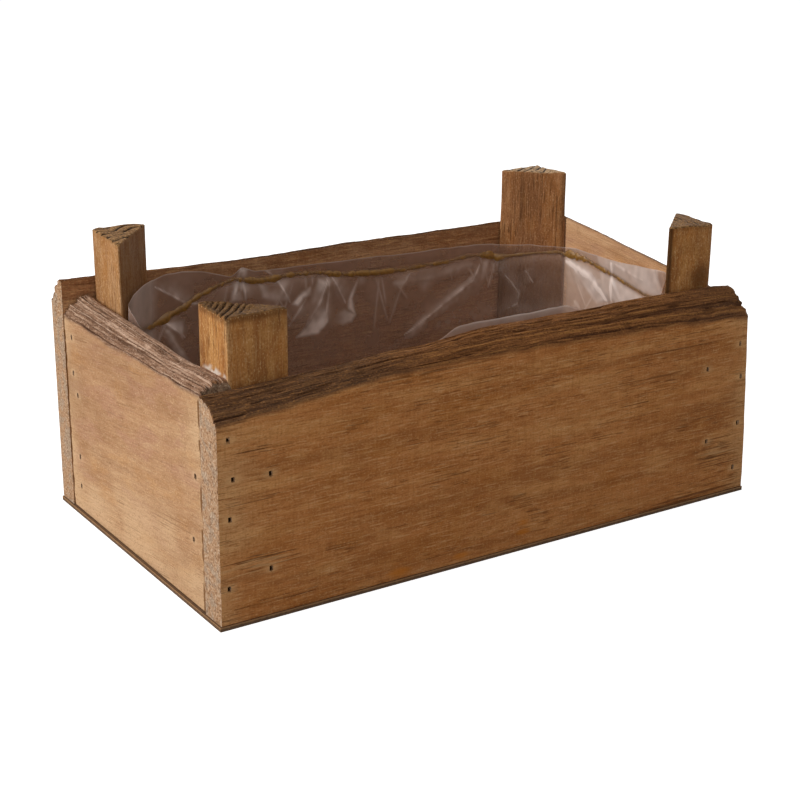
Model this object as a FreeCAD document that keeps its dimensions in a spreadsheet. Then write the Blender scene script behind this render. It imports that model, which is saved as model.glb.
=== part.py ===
"""Rectangular planter box of rough wood with a clear film liner.

Four waney-edged boards are nailed round a thin base panel. A three-cornered post
stands in each inner corner and takes brads from both boards that meet there. A film
tray lines the inside and hangs from a bead of glue under its top edge.

Millimetres. The origin is on the ground under the middle of the box: X runs along
the long boards to the right, Y from the front to the back, Z up.
"""

import FreeCAD
import Part
import Sketcher
import os

# Driving dimensions

SIZES = {
    # plan of the box, over the long boards
    "box_length": 260,
    "box_width": 150,
    # thickness of each board, and how far the end boards stay inside the long boards' ends
    "front_thick": 13,
    "back_thick": 12,
    "left_thick": 13,
    "right_thick": 13,
    "end_recess": 0.5,
    # how far the front board's right end leans in at its top
    "front_lean": 5,
    # panel nailed under the boards, flush with their faces and a little past their ends
    "base_thick": 1.8,
    "base_past_ends": 0.4,
    # front board, left to right: height of the inner crest and of the flat outer face
    "front_crest_1": 85.7,
    "front_crest_2": 87.5,
    "front_crest_3": 91.4,
    "front_crest_4": 91.7,
    "front_crest_5": 90.1,
    "front_face_1": 77.2,
    "front_face_2": 83.8,
    "front_face_3": 84.5,
    "front_face_4": 82.3,
    "front_face_5": 79.7,
    # back board, left to right
    "back_crest_1": 98.9,
    "back_crest_2": 97.3,
    "back_crest_3": 97.7,
    "back_face_1": 88.2,
    "back_face_2": 91.2,
    "back_face_3": 89.2,
    # left end board, front to back
    "left_crest_1": 88.1,
    "left_crest_2": 88.9,
    "left_crest_3": 90.1,
    "left_face_1": 84.6,
    "left_face_2": 84,
    "left_face_3": 84.9,
    # right end board, front to back
    "right_crest_1": 89.7,
    "right_crest_2": 97.7,
    "right_crest_3": 105.7,
    "right_face_1": 82.7,
    "right_face_2": 89.2,
    "right_face_3": 97.7,
    # how far a cutting outline reaches past the wood that it trims
    "trim_margin": 4,
    # posts: the two legs of each section along X and Y, and the heights over the base
    # at the box's corner and at the thin edge along X
    "front_left_leg_x": 23.8,
    "front_left_leg_y": 26.6,
    "front_left_height": 108.7,
    "front_left_edge_height": 111.3,
    "front_right_leg_x": 28.4,
    "front_right_leg_y": 26,
    "front_right_height": 117.5,
    "front_right_edge_height": 119.5,
    "back_left_leg_x": 26,
    "back_left_leg_y": 29.8,
    "back_left_height": 118.9,
    "back_left_edge_height": 117.9,
    "back_right_leg_x": 24.2,
    "back_right_leg_y": 26,
    "back_right_height": 124.4,
    "back_right_edge_height": 123.6,
    "post_round": 1.4,
    # film tray and the glue bead that carries it
    "film_thick": 0.2,
    "film_top_left": 89.7,
    "film_top_middle": 90.7,
    "film_top_right": 90.2,
    "film_slope": 2.6,
    "bead_thick": 0.8,
    "bead_width": 2.6,
    "bead_drop": 8.5,
    # brads, with a flat head that lies under the surface of the wood
    "brad_length": 22,
    "brad_wide": 1.2,
    "brad_deep": 1.05,
    "brad_point": 2.4,
    "head_long": 2,
    "head_wide": 1.25,
    "head_thick": 0.7,
    "head_sink": 0.8,
}

# Shape of the waney top edge: each layer of bark is a short riser and a sloping tread

WANE_LAYERS = 4
WANE_BULGE = 1.9
RISER_SHARE = 0.4

# Brads: place across the piece that the point enters, and height, as shares of that
# piece's thickness or leg and of the face height there

FRONT_LEFT_END_BRADS = ((0.32, 0.921), (0.44, 0.727), (0.32, 0.533), (0.24, 0.186))
FRONT_RIGHT_END_BRADS = ((0.55, 0.849), (0.41, 0.661), (0.40, 0.392), (0.46, 0.131))
FRONT_LEFT_POST_BRADS = ((0.33, 0.718), (0.31, 0.24))
FRONT_RIGHT_POST_BRADS = ((0.44, 0.741), (0.36, 0.324))
BACK_END_BRADS = ((0.46, 0.901), (0.55, 0.643), (0.42, 0.444), (0.5, 0.216))
BACK_POST_BRADS = ((0.36, 0.464), (0.31, 0.231))
LEFT_BACK_POST_BRADS = ((0.24, 0.901), (0.23, 0.719), (0.345, 0.615), (0.31, 0.291), (0.29, 0.133))
LEFT_FRONT_POST_BRADS = ((0.21, 0.62), (0.33, 0.314))
RIGHT_POST_BRADS = ((0.3, 0.901), (0.28, 0.603), (0.33, 0.266))
BASE_LONG_BRADS = (-0.4, -0.13, 0.14, 0.38)
BASE_END_BRADS = (-0.2, 0.17)

# Names that point at a post's own leg sizes and at its side of the box

CORNERS = {
    "front_left": (-1, -1),
    "front_right": (1, -1),
    "back_right": (1, 1),
    "back_left": (-1, 1),
}

# Document and sheet

doc = FreeCAD.newDocument("planter_box")
sheet = doc.addObject("Spreadsheet::Sheet", "Sizes")
for row, (alias, value) in enumerate(SIZES.items(), start=1):
    sheet.set(f"A{row}", str(value))
    sheet.setAlias(f"A{row}", alias)
doc.recompute()


def size(alias):
    """Expression that reads one driving dimension."""
    return f"Sizes.{alias}"


def number(expression):
    """Present value of an expression, in millimetres or degrees."""
    return float(sheet.evalExpression(expression.replace("Sizes.", "")))


HALF_LENGTH = f"{size('box_length')} / 2"
HALF_WIDTH = f"{size('box_width')} / 2"
LEFT_OUTER = f"(-{HALF_LENGTH} + {size('end_recess')})"
RIGHT_OUTER = f"({HALF_LENGTH} - {size('end_recess')})"
LEFT_INNER = f"({LEFT_OUTER} + {size('left_thick')})"
RIGHT_INNER = f"({RIGHT_OUTER} - {size('right_thick')})"
FRONT_INNER = f"(-{HALF_WIDTH} + {size('front_thick')})"
BACK_INNER = f"({HALF_WIDTH} - {size('back_thick')})"
FLOOR = size("base_thick")


# Sketches and features


def outline(body, name, plane, points, offset="0", tilt="0"):
    """Closed outline through pairs of expressions, on one of the body's own planes.

    offset moves the plane along its normal, and tilt turns it about its first axis.
    """
    sketch = body.newObject("Sketcher::SketchObject", name)
    support = next(f for f in body.Origin.OriginFeatures if f.Role == plane)
    sketch.AttachmentSupport = (support, "")
    sketch.MapMode = "FlatFace"
    sketch.AttachmentOffset = FreeCAD.Placement(
        FreeCAD.Vector(0, 0, number(offset)),
        FreeCAD.Rotation(FreeCAD.Vector(1, 0, 0), number(tilt)),
    )
    sketch.setExpression("AttachmentOffset.Base.z", offset)
    if tilt != "0":
        sketch.setExpression("AttachmentOffset.Rotation.Angle", tilt)
    corners = [FreeCAD.Vector(number(x), number(y), 0) for x, y in points]
    count = len(points)
    for i in range(count):
        sketch.addGeometry(Part.LineSegment(corners[i], corners[(i + 1) % count]), False)
    for i in range(count):
        sketch.addConstraint(Sketcher.Constraint("Coincident", i, 2, (i + 1) % count, 1))
    for i, (x, y) in enumerate(points):
        across = Sketcher.Constraint("DistanceX", -1, 1, i, 1, corners[i].x)
        up = Sketcher.Constraint("DistanceY", -1, 1, i, 1, corners[i].y)
        sketch.setExpression(f"Constraints[{sketch.addConstraint(across)}]", x)
        sketch.setExpression(f"Constraints[{sketch.addConstraint(up)}]", y)
    return sketch


def rectangle(x_low, x_high, y_low, y_high):
    """Corner points of an upright rectangle."""
    return [(x_low, y_low), (x_high, y_low), (x_high, y_high), (x_low, y_high)]


def pad(body, name, sketch, length):
    """Extrusion of a sketch along its normal."""
    feature = body.newObject("PartDesign::Pad", name)
    feature.Profile = sketch
    feature.setExpression("Length", length)
    return feature


def pocket_through(body, name, sketch):
    """Cut of a sketch right through the body, both ways."""
    feature = body.newObject("PartDesign::Pocket", name)
    feature.Profile = sketch
    feature.Type = "ThroughAll"
    feature.Midplane = True
    return feature


# Boards


def wane_steps():
    """Depth share and rise share of the bark's layers, from the outer face inwards.

    The rise follows 1 - (1 - depth) ** bulge, and each layer takes part of it at once.
    """
    rise_at = [1 - (1 - k / WANE_LAYERS) ** WANE_BULGE for k in range(WANE_LAYERS + 1)]
    steps = [(0, 0)]
    for k in range(WANE_LAYERS):
        riser = rise_at[k] + RISER_SHARE * (rise_at[k + 1] - rise_at[k])
        steps.append((k / WANE_LAYERS, riser))
        steps.append(((k + 1) / WANE_LAYERS, rise_at[k + 1]))
    return steps


def wane_section(outer, inner, inward, face, crest, top):
    """Outline of what is trimmed off a board's top at one place along it."""
    margin = f"{inward} * {size('trim_margin')}"
    points = [(f"{outer} - {margin}", face)]
    for depth, rise in wane_steps():
        across = f"{outer} + ({inner} - {outer}) * {depth:.4f}"
        up = f"{face} + ({crest} - {face}) * {rise:.4f}"
        points.append((across, up))
    points.append((f"{inner} + {margin}", crest))
    points.append((f"{inner} + {margin}", top))
    points.append((f"{outer} - {margin}", top))
    return points


def blank_top(side, stations):
    """Height of the blank that every crest of a board is trimmed from."""
    crests = ", ".join(size(f"{side}_crest_{i}") for i in range(1, stations + 1))
    return f"({FLOOR} + max({crests}) + {size('trim_margin')} / 2)"


def waney_board(side, stations, plane, blank, thick, offset, trim_plane, places, walls):
    """Board with a natural top edge: a flat blank, trimmed by a loft along its length."""
    body = doc.addObject("PartDesign::Body", f"{side}_blank")
    face = outline(body, f"{side}_outline", plane, blank, offset)
    pad(body, f"{side}_pad", face, thick)
    outer, inner, inward = walls
    top = f"({blank_top(side, stations)} + {size('trim_margin')})"
    sections = []
    for i, place in enumerate(places, start=1):
        points = wane_section(
            outer,
            inner,
            inward,
            f"({FLOOR} + {size(f'{side}_face_{i}')})",
            f"({FLOOR} + {size(f'{side}_crest_{i}')})",
            top,
        )
        sections.append(outline(body, f"{side}_wane_{i}", trim_plane, points, place))
    doc.recompute()
    trim = body.newObject("PartDesign::SubtractiveLoft", f"{side}_wane")
    trim.Profile = sections[0]
    trim.Sections = sections[1:]
    return body


def spread(low, high, count):
    """Places evenly spaced from low to high."""
    return [f"{low} + ({high} - {low}) * {i / (count - 1):.4f}" for i in range(count)]


PAST = size("trim_margin")
LONG_LOW = f"(-{HALF_LENGTH} - {PAST})"
LONG_HIGH = f"({HALF_LENGTH} + {PAST})"
# A plane across Y faces the front, so a place on it is counted the other way
END_LOW = f"(-{FRONT_INNER} + {PAST})"
END_HIGH = f"(-{BACK_INNER} - {PAST})"

front_top = blank_top("front", 5)
front_blank = [
    (f"-{HALF_LENGTH}", FLOOR),
    (HALF_LENGTH, FLOOR),
    (f"{HALF_LENGTH} - {size('front_lean')}", front_top),
    (f"-{HALF_LENGTH}", front_top),
]
front_body = waney_board(
    "front",
    5,
    "XZ_Plane",
    front_blank,
    size("front_thick"),
    f"-{FRONT_INNER}",
    "YZ_Plane",
    spread(LONG_LOW, LONG_HIGH, 5),
    (f"(-{HALF_WIDTH})", FRONT_INNER, "1"),
)
back_body = waney_board(
    "back",
    3,
    "XZ_Plane",
    rectangle(f"-{HALF_LENGTH}", HALF_LENGTH, FLOOR, blank_top("back", 3)),
    size("back_thick"),
    f"-{HALF_WIDTH}",
    "YZ_Plane",
    spread(LONG_LOW, LONG_HIGH, 3),
    (f"({HALF_WIDTH})", BACK_INNER, "-1"),
)
left_body = waney_board(
    "left",
    3,
    "YZ_Plane",
    rectangle(FRONT_INNER, BACK_INNER, FLOOR, blank_top("left", 3)),
    size("left_thick"),
    LEFT_OUTER,
    "XZ_Plane",
    spread(END_LOW, END_HIGH, 3),
    (LEFT_OUTER, LEFT_INNER, "1"),
)
right_body = waney_board(
    "right",
    3,
    "YZ_Plane",
    rectangle(FRONT_INNER, BACK_INNER, FLOOR, blank_top("right", 3)),
    size("right_thick"),
    RIGHT_INNER,
    "XZ_Plane",
    spread(END_LOW, END_HIGH, 3),
    (RIGHT_OUTER, RIGHT_INNER, "-1"),
)

# Base panel

base_body = doc.addObject("PartDesign::Body", "base_blank")
base_outline = outline(
    base_body,
    "base_outline",
    "XY_Plane",
    rectangle(
        f"-{HALF_LENGTH} - {size('base_past_ends')}",
        f"{HALF_LENGTH} + {size('base_past_ends')}",
        f"-{HALF_WIDTH}",
        HALF_WIDTH,
    ),
)
pad(base_body, "base_pad", base_outline, size("base_thick"))


# Posts


def inner_corner(corner):
    """Inner corner of the box that a post stands in."""
    side_x, side_y = CORNERS[corner]
    x = LEFT_INNER if side_x < 0 else RIGHT_INNER
    y = FRONT_INNER if side_y < 0 else BACK_INNER
    return x, y


def corner_post(corner):
    """Half of a square post, split along its diagonal, with a skew sawn top."""
    side_x, side_y = CORNERS[corner]
    x, y = inner_corner(corner)
    far_x = f"{x} - {side_x} * {size(f'{corner}_leg_x')}"
    far_y = f"{y} - {side_y} * {size(f'{corner}_leg_y')}"
    body = doc.addObject("PartDesign::Body", f"{corner}_blank")
    section = outline(
        body, f"{corner}_section", "XY_Plane", [(x, y), (far_x, y), (x, far_y)], FLOOR
    )
    height = size(f"{corner}_height")
    edge_height = size(f"{corner}_edge_height")
    pad(body, f"{corner}_pad", section, f"{height} + abs({edge_height} - {height})")
    top = f"{FLOOR} + {height}"
    edge_top = f"{FLOOR} + {edge_height}"
    skew = [(x, top), (far_x, edge_top), (far_x, f"{edge_top} + {PAST}"), (x, f"{top} + {PAST}")]
    sawn = outline(body, f"{corner}_skew", "XZ_Plane", skew)
    cut = pocket_through(body, f"{corner}_sawn", sawn)
    doc.recompute()
    eased = body.newObject("PartDesign::Fillet", f"{corner}_eased")
    eased.Base = (cut, thin_edges(cut.Shape, number(x), number(y)))
    eased.setExpression("Radius", size("post_round"))
    return body


def thin_edges(shape, x, y):
    """Names of the upright edges away from the corner at x, y."""
    names = []
    for i, edge in enumerate(shape.Edges, start=1):
        run = edge.tangentAt(edge.FirstParameter)
        away = abs(edge.CenterOfMass.x - x) + abs(edge.CenterOfMass.y - y)
        if abs(run.z) > 0.999 and away > 1:
            names.append(f"Edge{i}")
    return names


post_bodies = {corner: corner_post(corner) for corner in CORNERS}


# Film tray and glue bead


def lining(gap):
    """Eight-sided plan that follows the walls and the posts' long faces at a gap."""
    points = []
    for corner, (side_x, side_y) in CORNERS.items():
        x, y = inner_corner(corner)
        leg_x = size(f"{corner}_leg_x")
        leg_y = size(f"{corner}_leg_y")
        slant = f"sqrt(1 / {leg_x} ^ 2 + 1 / {leg_y} ^ 2)"
        reach_x = f"{leg_x} * (1 + ({gap}) * ({slant} - 1 / {leg_y}))"
        reach_y = f"{leg_y} * (1 + ({gap}) * ({slant} - 1 / {leg_x}))"
        on_long = (f"{x} - {side_x} * ({reach_x})", f"{y} - {side_y} * ({gap})")
        on_end = (f"{x} - {side_x} * ({gap})", f"{y} - {side_y} * ({reach_y})")
        clockwise = side_x * side_y < 0
        points += [on_long, on_end] if clockwise else [on_end, on_long]
    return points


def slanted_level(rise, beyond):
    """Outline between a level that follows the film's top edge and another level.

    rise is counted from the film's top edge, and beyond is the far side's height.
    """
    ends = ((LEFT_INNER, "film_top_left"), ("0", "film_top_middle"), (RIGHT_INNER, "film_top_right"))
    line = [(x, f"{FLOOR} + {size(name)} + {rise}") for x, name in ends]
    return line + [(RIGHT_INNER, beyond), (LEFT_INNER, beyond)]


def trim_lining(body, name, rise, beyond):
    """Cut of the lining above or below a level that falls from the back to the front."""
    level = outline(
        body, f"{name}_level", "XZ_Plane", slanted_level(rise, beyond), tilt=size("film_slope")
    )
    return pocket_through(body, name, level)


LINING_TOP = f"({FLOOR} + {size('film_top_middle')} + {size('box_width')} / 4)"
ABOVE = f"({LINING_TOP} + {size('box_width')})"
BELOW = f"(-{size('box_width')})"

film_body = doc.addObject("PartDesign::Body", "liner_film")
film_outside = outline(film_body, "film_outside", "XY_Plane", lining(size("bead_thick")), FLOOR)
pad(film_body, "film_block", film_outside, f"{LINING_TOP} - {FLOOR}")
film_gap = f"{size('bead_thick')} + {size('film_thick')}"
film_floor = f"{FLOOR} + {size('film_thick')}"
film_inside = outline(film_body, "film_inside", "XY_Plane", lining(film_gap), film_floor)
hollow = film_body.newObject("PartDesign::Pocket", "film_hollow")
hollow.Profile = film_inside
hollow.Type = "ThroughAll"
hollow.Reversed = True
trim_lining(film_body, "film_rim", "0", ABOVE)

bead_body = doc.addObject("PartDesign::Body", "liner_glue_bead")
bead_outside = outline(bead_body, "bead_outside", "XY_Plane", lining("0"), FLOOR)
pad(bead_body, "bead_block", bead_outside, f"{LINING_TOP} - {FLOOR}")
bead_inside = outline(bead_body, "bead_inside", "XY_Plane", lining(size("bead_thick")), FLOOR)
pocket_through(bead_body, "bead_hollow", bead_inside)
trim_lining(bead_body, "bead_top", f"-{size('bead_drop')}", ABOVE)
trim_lining(bead_body, "bead_foot", f"-{size('bead_drop')} - {size('bead_width')}", BELOW)


# Brads


def brad_pattern(name, head_start, extra):
    """One brad along Z from the wood's surface, its head starting at head_start.

    extra is added to every side of the point's end, so that a loft closes there.
    """
    body = doc.addObject("PartDesign::Body", name)
    half_long = f"{size('head_long')} / 2"
    half_wide = f"{size('head_wide')} / 2"
    head_end = f"{size('head_sink')} + {size('head_thick')}"
    head_plan = rectangle(f"-{half_long}", half_long, f"-{half_wide}", half_wide)
    head = outline(body, f"{name}_head_plan", "XY_Plane", head_plan, head_start)
    pad(body, f"{name}_head", head, f"{head_end} - ({head_start})")
    half_brad_wide = f"{size('brad_wide')} / 2"
    half_brad_deep = f"{size('brad_deep')} / 2"
    tip = f"{size('head_sink')} + {size('brad_length')}"
    shank_plan = rectangle(f"-{half_brad_wide}", half_brad_wide, f"-{half_brad_deep}", half_brad_deep)
    shank = outline(body, f"{name}_shank_plan", "XY_Plane", shank_plan, head_end)
    shank_end = f"{tip} - {size('brad_point')}"
    pad(body, f"{name}_shank", shank, f"{shank_end} - ({head_end})")
    start = outline(body, f"{name}_point_start", "XY_Plane", shank_plan, shank_end)
    edge_plan = rectangle(f"-{half_brad_wide}", half_brad_wide, f"-{extra}", extra)
    end = outline(body, f"{name}_point_end", "XY_Plane", edge_plan, tip)
    doc.recompute()
    point = body.newObject("PartDesign::AdditiveLoft", f"{name}_point")
    point.Profile = start
    point.Sections = [end]
    return body


CHISEL_EDGE = f"{size('brad_deep')} / 10"
brad = brad_pattern("brad", size("head_sink"), CHISEL_EDGE)
brad_hole = brad_pattern("brad_hole", f"-{size('head_sink')}", CHISEL_EDGE)
doc.recompute()

X = FreeCAD.Vector(1, 0, 0)
Y = FreeCAD.Vector(0, 1, 0)
Z = FreeCAD.Vector(0, 0, 1)


def driven(place, into, long_side):
    """Placement of a brad at a point of the surface, pointing into the wood."""
    turn = FreeCAD.Rotation(long_side, into.cross(long_side), into, "ZXY")
    return FreeCAD.Placement(FreeCAD.Vector(*place), turn)


def board_height(side, station, share):
    """Height over the ground of a share of a board's face height at a station."""
    return number(FLOOR) + share * number(size(f"{side}_face_{station}"))


def long_board_brads(side, columns):
    """Brads through a long board into the end boards' end grain and into the posts."""
    y = number(HALF_WIDTH) * (-1 if side == "front" else 1)
    into = Y if side == "front" else -Y
    stations = {"left": 1, "right": 5 if side == "front" else 3}
    spots = []
    for end, kind, brads in columns:
        outward = -1 if end == "left" else 1
        if kind == "end":
            start = number(LEFT_OUTER if end == "left" else RIGHT_OUTER)
            span = number(size(f"{end}_thick"))
        else:
            start = number(LEFT_INNER if end == "left" else RIGHT_INNER)
            span = number(size(f"{side}_{end}_leg_x"))
        for across, share in brads:
            z = board_height(side, stations[end], share)
            spots.append(driven((start - outward * across * span, y, z), into, Z))
    return spots


def end_board_brads(end, columns):
    """Brads through an end board into the two posts behind it."""
    x = number(LEFT_OUTER if end == "left" else RIGHT_OUTER)
    into = X if end == "left" else -X
    stations = {"front": 1, "back": 3}
    spots = []
    for side, brads in columns:
        outward = -1 if side == "front" else 1
        start = number(FRONT_INNER if side == "front" else BACK_INNER)
        span = number(size(f"{side}_{end}_leg_y"))
        for across, share in brads:
            z = board_height(end, stations[side], share)
            spots.append(driven((x, start - outward * across * span, z), into, Z))
    return spots


def base_panel_brads():
    """Brads from under the base panel into the bottom edges of the boards."""
    front_line = (number(f"-{HALF_WIDTH}") + number(FRONT_INNER)) / 2
    back_line = (number(HALF_WIDTH) + number(BACK_INNER)) / 2
    left_line = (number(LEFT_OUTER) + number(LEFT_INNER)) / 2
    right_line = (number(RIGHT_OUTER) + number(RIGHT_INNER)) / 2
    length = number(size("box_length"))
    width = number(size("box_width"))
    spots = [(share * length, y, 0) for y in (front_line, back_line) for share in BASE_LONG_BRADS]
    spots += [(x, share * width, 0) for x in (left_line, right_line) for share in BASE_END_BRADS]
    return [driven(spot, Z, X) for spot in spots]


BRADS = {
    "front_brads": long_board_brads(
        "front",
        (
            ("left", "end", FRONT_LEFT_END_BRADS),
            ("left", "post", FRONT_LEFT_POST_BRADS),
            ("right", "end", FRONT_RIGHT_END_BRADS),
            ("right", "post", FRONT_RIGHT_POST_BRADS),
        ),
    ),
    "back_brads": long_board_brads(
        "back",
        (
            ("left", "end", BACK_END_BRADS),
            ("left", "post", BACK_POST_BRADS),
            ("right", "end", BACK_END_BRADS),
            ("right", "post", BACK_POST_BRADS),
        ),
    ),
    "left_end_brads": end_board_brads(
        "left", (("back", LEFT_BACK_POST_BRADS), ("front", LEFT_FRONT_POST_BRADS))
    ),
    "right_end_brads": end_board_brads(
        "right", (("back", RIGHT_POST_BRADS), ("front", RIGHT_POST_BRADS))
    ),
    "base_brads": base_panel_brads(),
}


def copies(pattern, placements):
    """Compound of one shape set at several placements."""
    shapes = []
    for placement in placements:
        shape = pattern.Shape.copy()
        shape.Placement = placement.multiply(shape.Placement)
        shapes.append(shape)
    return Part.makeCompound(shapes)


parts = []
hole_tools = {}
for group, placements in BRADS.items():
    nails = doc.addObject("Part::Feature", group)
    nails.Shape = copies(brad, placements)
    parts.append(nails)
    holes = doc.addObject("Part::Feature", f"{group}_holes")
    holes.Shape = copies(brad_hole, placements)
    hole_tools[group] = holes

# Each piece of wood, with the holes of the brads that reach it

WOOD = {
    "front_board": (front_body, ("front_brads", "base_brads")),
    "back_board": (back_body, ("back_brads", "base_brads")),
    "left_end_board": (left_body, ("left_end_brads", "front_brads", "back_brads", "base_brads")),
    "right_end_board": (right_body, ("right_end_brads", "front_brads", "back_brads", "base_brads")),
    "base_panel": (base_body, ("base_brads",)),
    "front_left_post": (post_bodies["front_left"], ("front_brads", "left_end_brads")),
    "front_right_post": (post_bodies["front_right"], ("front_brads", "right_end_brads")),
    "back_left_post": (post_bodies["back_left"], ("back_brads", "left_end_brads")),
    "back_right_post": (post_bodies["back_right"], ("back_brads", "right_end_brads")),
}
for name, (body, groups) in WOOD.items():
    piece = body
    for group in groups:
        drilled = doc.addObject("Part::Cut", f"{name}_{group}_cut")
        drilled.Base = piece
        drilled.Tool = hole_tools[group]
        piece = drilled
    piece.Label = name
    parts.append(piece)
parts += [film_body, bead_body]
doc.recompute()

# Checks and files

for item in doc.Objects:
    if "Invalid" in item.State or "Error" in item.State:
        raise RuntimeError(f"{item.Label} failed: {item.State}")
os.makedirs("parts", exist_ok=True)
for part in parts:
    if part.Shape.isNull() or not part.Shape.isValid():
        raise RuntimeError(f"{part.Label} has no valid shape")
    part.Shape.exportStep(f"parts/{part.Label}.step")
    print(part.Label, len(part.Shape.Solids), "solids", round(part.Shape.Volume / 1000, 2), "cm3")
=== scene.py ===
# %% [markdown]
# # A rough wooden planter box
# The real object is a small box nailed from four rough boards. The top edges of
# the boards keep their bark, three-cornered posts stand in the corners, a thin
# hardboard panel closes the bottom, and a clear film glued round the inside keeps
# water off the wood. The CAD frame says where each piece is, and this lesson works
# out the surfaces that the eye sees: bark, saw marks, end grain and wrinkled film.

# %% Load the frame
import math
from types import SimpleNamespace

import bpy
import numpy as np
from mathutils import Matrix, Vector


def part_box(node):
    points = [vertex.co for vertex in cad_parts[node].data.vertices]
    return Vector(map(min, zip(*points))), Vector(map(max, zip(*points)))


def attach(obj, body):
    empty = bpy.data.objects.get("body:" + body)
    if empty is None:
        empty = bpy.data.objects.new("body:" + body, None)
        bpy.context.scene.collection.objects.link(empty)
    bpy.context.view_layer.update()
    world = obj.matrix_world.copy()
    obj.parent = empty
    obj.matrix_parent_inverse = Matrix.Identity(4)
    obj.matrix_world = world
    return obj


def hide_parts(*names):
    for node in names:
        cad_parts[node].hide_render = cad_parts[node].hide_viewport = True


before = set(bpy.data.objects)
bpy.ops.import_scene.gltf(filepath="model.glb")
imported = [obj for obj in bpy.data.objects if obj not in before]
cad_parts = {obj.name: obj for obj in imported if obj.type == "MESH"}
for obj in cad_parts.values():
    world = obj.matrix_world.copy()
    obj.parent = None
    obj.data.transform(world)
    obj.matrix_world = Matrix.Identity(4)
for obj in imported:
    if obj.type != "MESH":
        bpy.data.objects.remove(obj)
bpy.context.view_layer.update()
MM = 0.001
scene = bpy.context.scene
scene.view_settings.view_transform = "Standard"
print("frame nodes:", sorted(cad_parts))

# %% [markdown]
# ## Camera
# The camera was found by fitting a pinhole to the box's straight edges in the
# photo. Its lens follows from the focal length in pixels and the frame's width,
# and its turn from three angles: round the box, down onto it and a slight tilt.

# %% Place the camera
FRAME_PIXELS = 800
FOCAL_PIXELS = 1581.3
SENSOR_WIDTH = 36.0
CAMERA_AZIMUTH = math.radians(-33.498)
CAMERA_ELEVATION = math.radians(18.652)
CAMERA_ROLL = math.radians(0.536)
CAMERA_PLACE = Vector((-0.36115, -0.53974, 0.26332))


def camera_turn(azimuth, elevation, roll):
    """The camera's axes as columns: back leans out by the two angles, and right and up turn by the roll."""
    back = Vector((
        math.sin(azimuth) * math.cos(elevation),
        -math.cos(azimuth) * math.cos(elevation),
        math.sin(elevation),
    ))
    right = (-back).cross(Vector((0, 0, 1))).normalized()
    up = right.cross(-back)
    tilted_right = math.cos(roll) * right + math.sin(roll) * up
    tilted_up = math.cos(roll) * up - math.sin(roll) * right
    return Matrix((tilted_right, tilted_up, back)).transposed()


camera_data = bpy.data.cameras.new("photo_camera")
camera_data.sensor_width = SENSOR_WIDTH
camera_data.lens = FOCAL_PIXELS * SENSOR_WIDTH / FRAME_PIXELS
camera = bpy.data.objects.new("photo_camera", camera_data)
camera.matrix_world = (
    Matrix.Translation(CAMERA_PLACE)
    @ camera_turn(CAMERA_AZIMUTH, CAMERA_ELEVATION, CAMERA_ROLL).to_4x4()
)
scene.collection.objects.link(camera)
scene.camera = camera
print("lens", round(camera_data.lens, 2), "mm")

# %% [markdown]
# ## Colour and nodes
# Colours are written as the hex values that a colour picker shows, and one function
# turns them to the linear light that shaders work in. One small function adds a
# node: what it gets for a socket is linked if it is another node or one of its outputs,
# and set as a plain value if it isn't. A node stands for its first output.

# %% Colour and node helpers
FIRST = 0
MIX_A = 6
MIX_B = 7
MIX_RESULT = 2


def colour(code):
    """sRGB hex to linear: below 0.04045 a straight line, above it a power of 2.4."""
    parts = np.array([int(code[i:i + 2], 16) for i in (1, 3, 5)]) / 255
    linear = np.where(parts <= 0.04045, parts / 12.92, ((parts + 0.055) / 1.055) ** 2.4)
    return (*linear.tolist(), 1.0)


def add(tree, kind, inputs=None, **settings):
    """Adds one shader node with its settings, and links or sets its inputs by name or number."""
    node = tree.nodes.new("ShaderNode" + kind)
    for key, value in settings.items():
        setattr(node, key, value)
    for key, value in (inputs or {}).items():
        if isinstance(value, bpy.types.Node):
            value = value.outputs[FIRST]
        if isinstance(value, bpy.types.NodeSocket):
            tree.links.new(value, node.inputs[key])
        else:
            node.inputs[key].default_value = value
    return node


def new_material(name):
    """An empty node material and its tree."""
    material = bpy.data.materials.new(name)
    material.use_nodes = True
    material.node_tree.nodes.clear()
    return material, material.node_tree

# %% [markdown]
# ## Studio
# The photo was taken on white, with a large soft light on the left and a little behind,
# so the left end gets about two and a half times the light of the front. Weak lamps
# fill the front and the back, and the world lights the rest. The floor is pale and
# keeps the shadow; the camera and reflections see a white world behind it.

# %% The floor
FLOOR_HALF = 12.0
FLOOR_TONE = "#c6c6c6"
FLOOR_GLOW = 0.9


def seen_directly(tree):
    """1 for rays from the camera, from a gloss or through a clear surface, and 0 for other light."""
    path = add(tree, "LightPath")
    seen = path.outputs["Is Camera Ray"]
    for other in ("Is Glossy Ray", "Is Transmission Ray"):
        seen = add(tree, "Math", {0: seen, 1: path.outputs[other]}, operation="MAXIMUM")
    return seen


floor_material, tree = new_material("white_paper_floor")
matt = add(tree, "BsdfDiffuse", {"Color": colour(FLOOR_TONE)})
glow_level = add(tree, "Math", {0: seen_directly(tree), 1: FLOOR_GLOW}, operation="MULTIPLY")
glow = add(tree, "Emission", {"Strength": glow_level})
both = add(tree, "AddShader", {0: matt, 1: glow})
add(tree, "OutputMaterial", {"Surface": both})

floor_mesh = bpy.data.meshes.new("studio_floor")
corners = FLOOR_HALF * np.array([(-1, -1, 0), (1, -1, 0), (1, 1, 0), (-1, 1, 0)])
floor_mesh.from_pydata(corners.tolist(), [], [(0, 1, 2, 3)])
floor_mesh.materials.append(floor_material)
floor = bpy.data.objects.new("studio_floor", floor_mesh)
scene.collection.objects.link(floor)
print("floor", 2 * FLOOR_HALF, "m wide")

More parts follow.
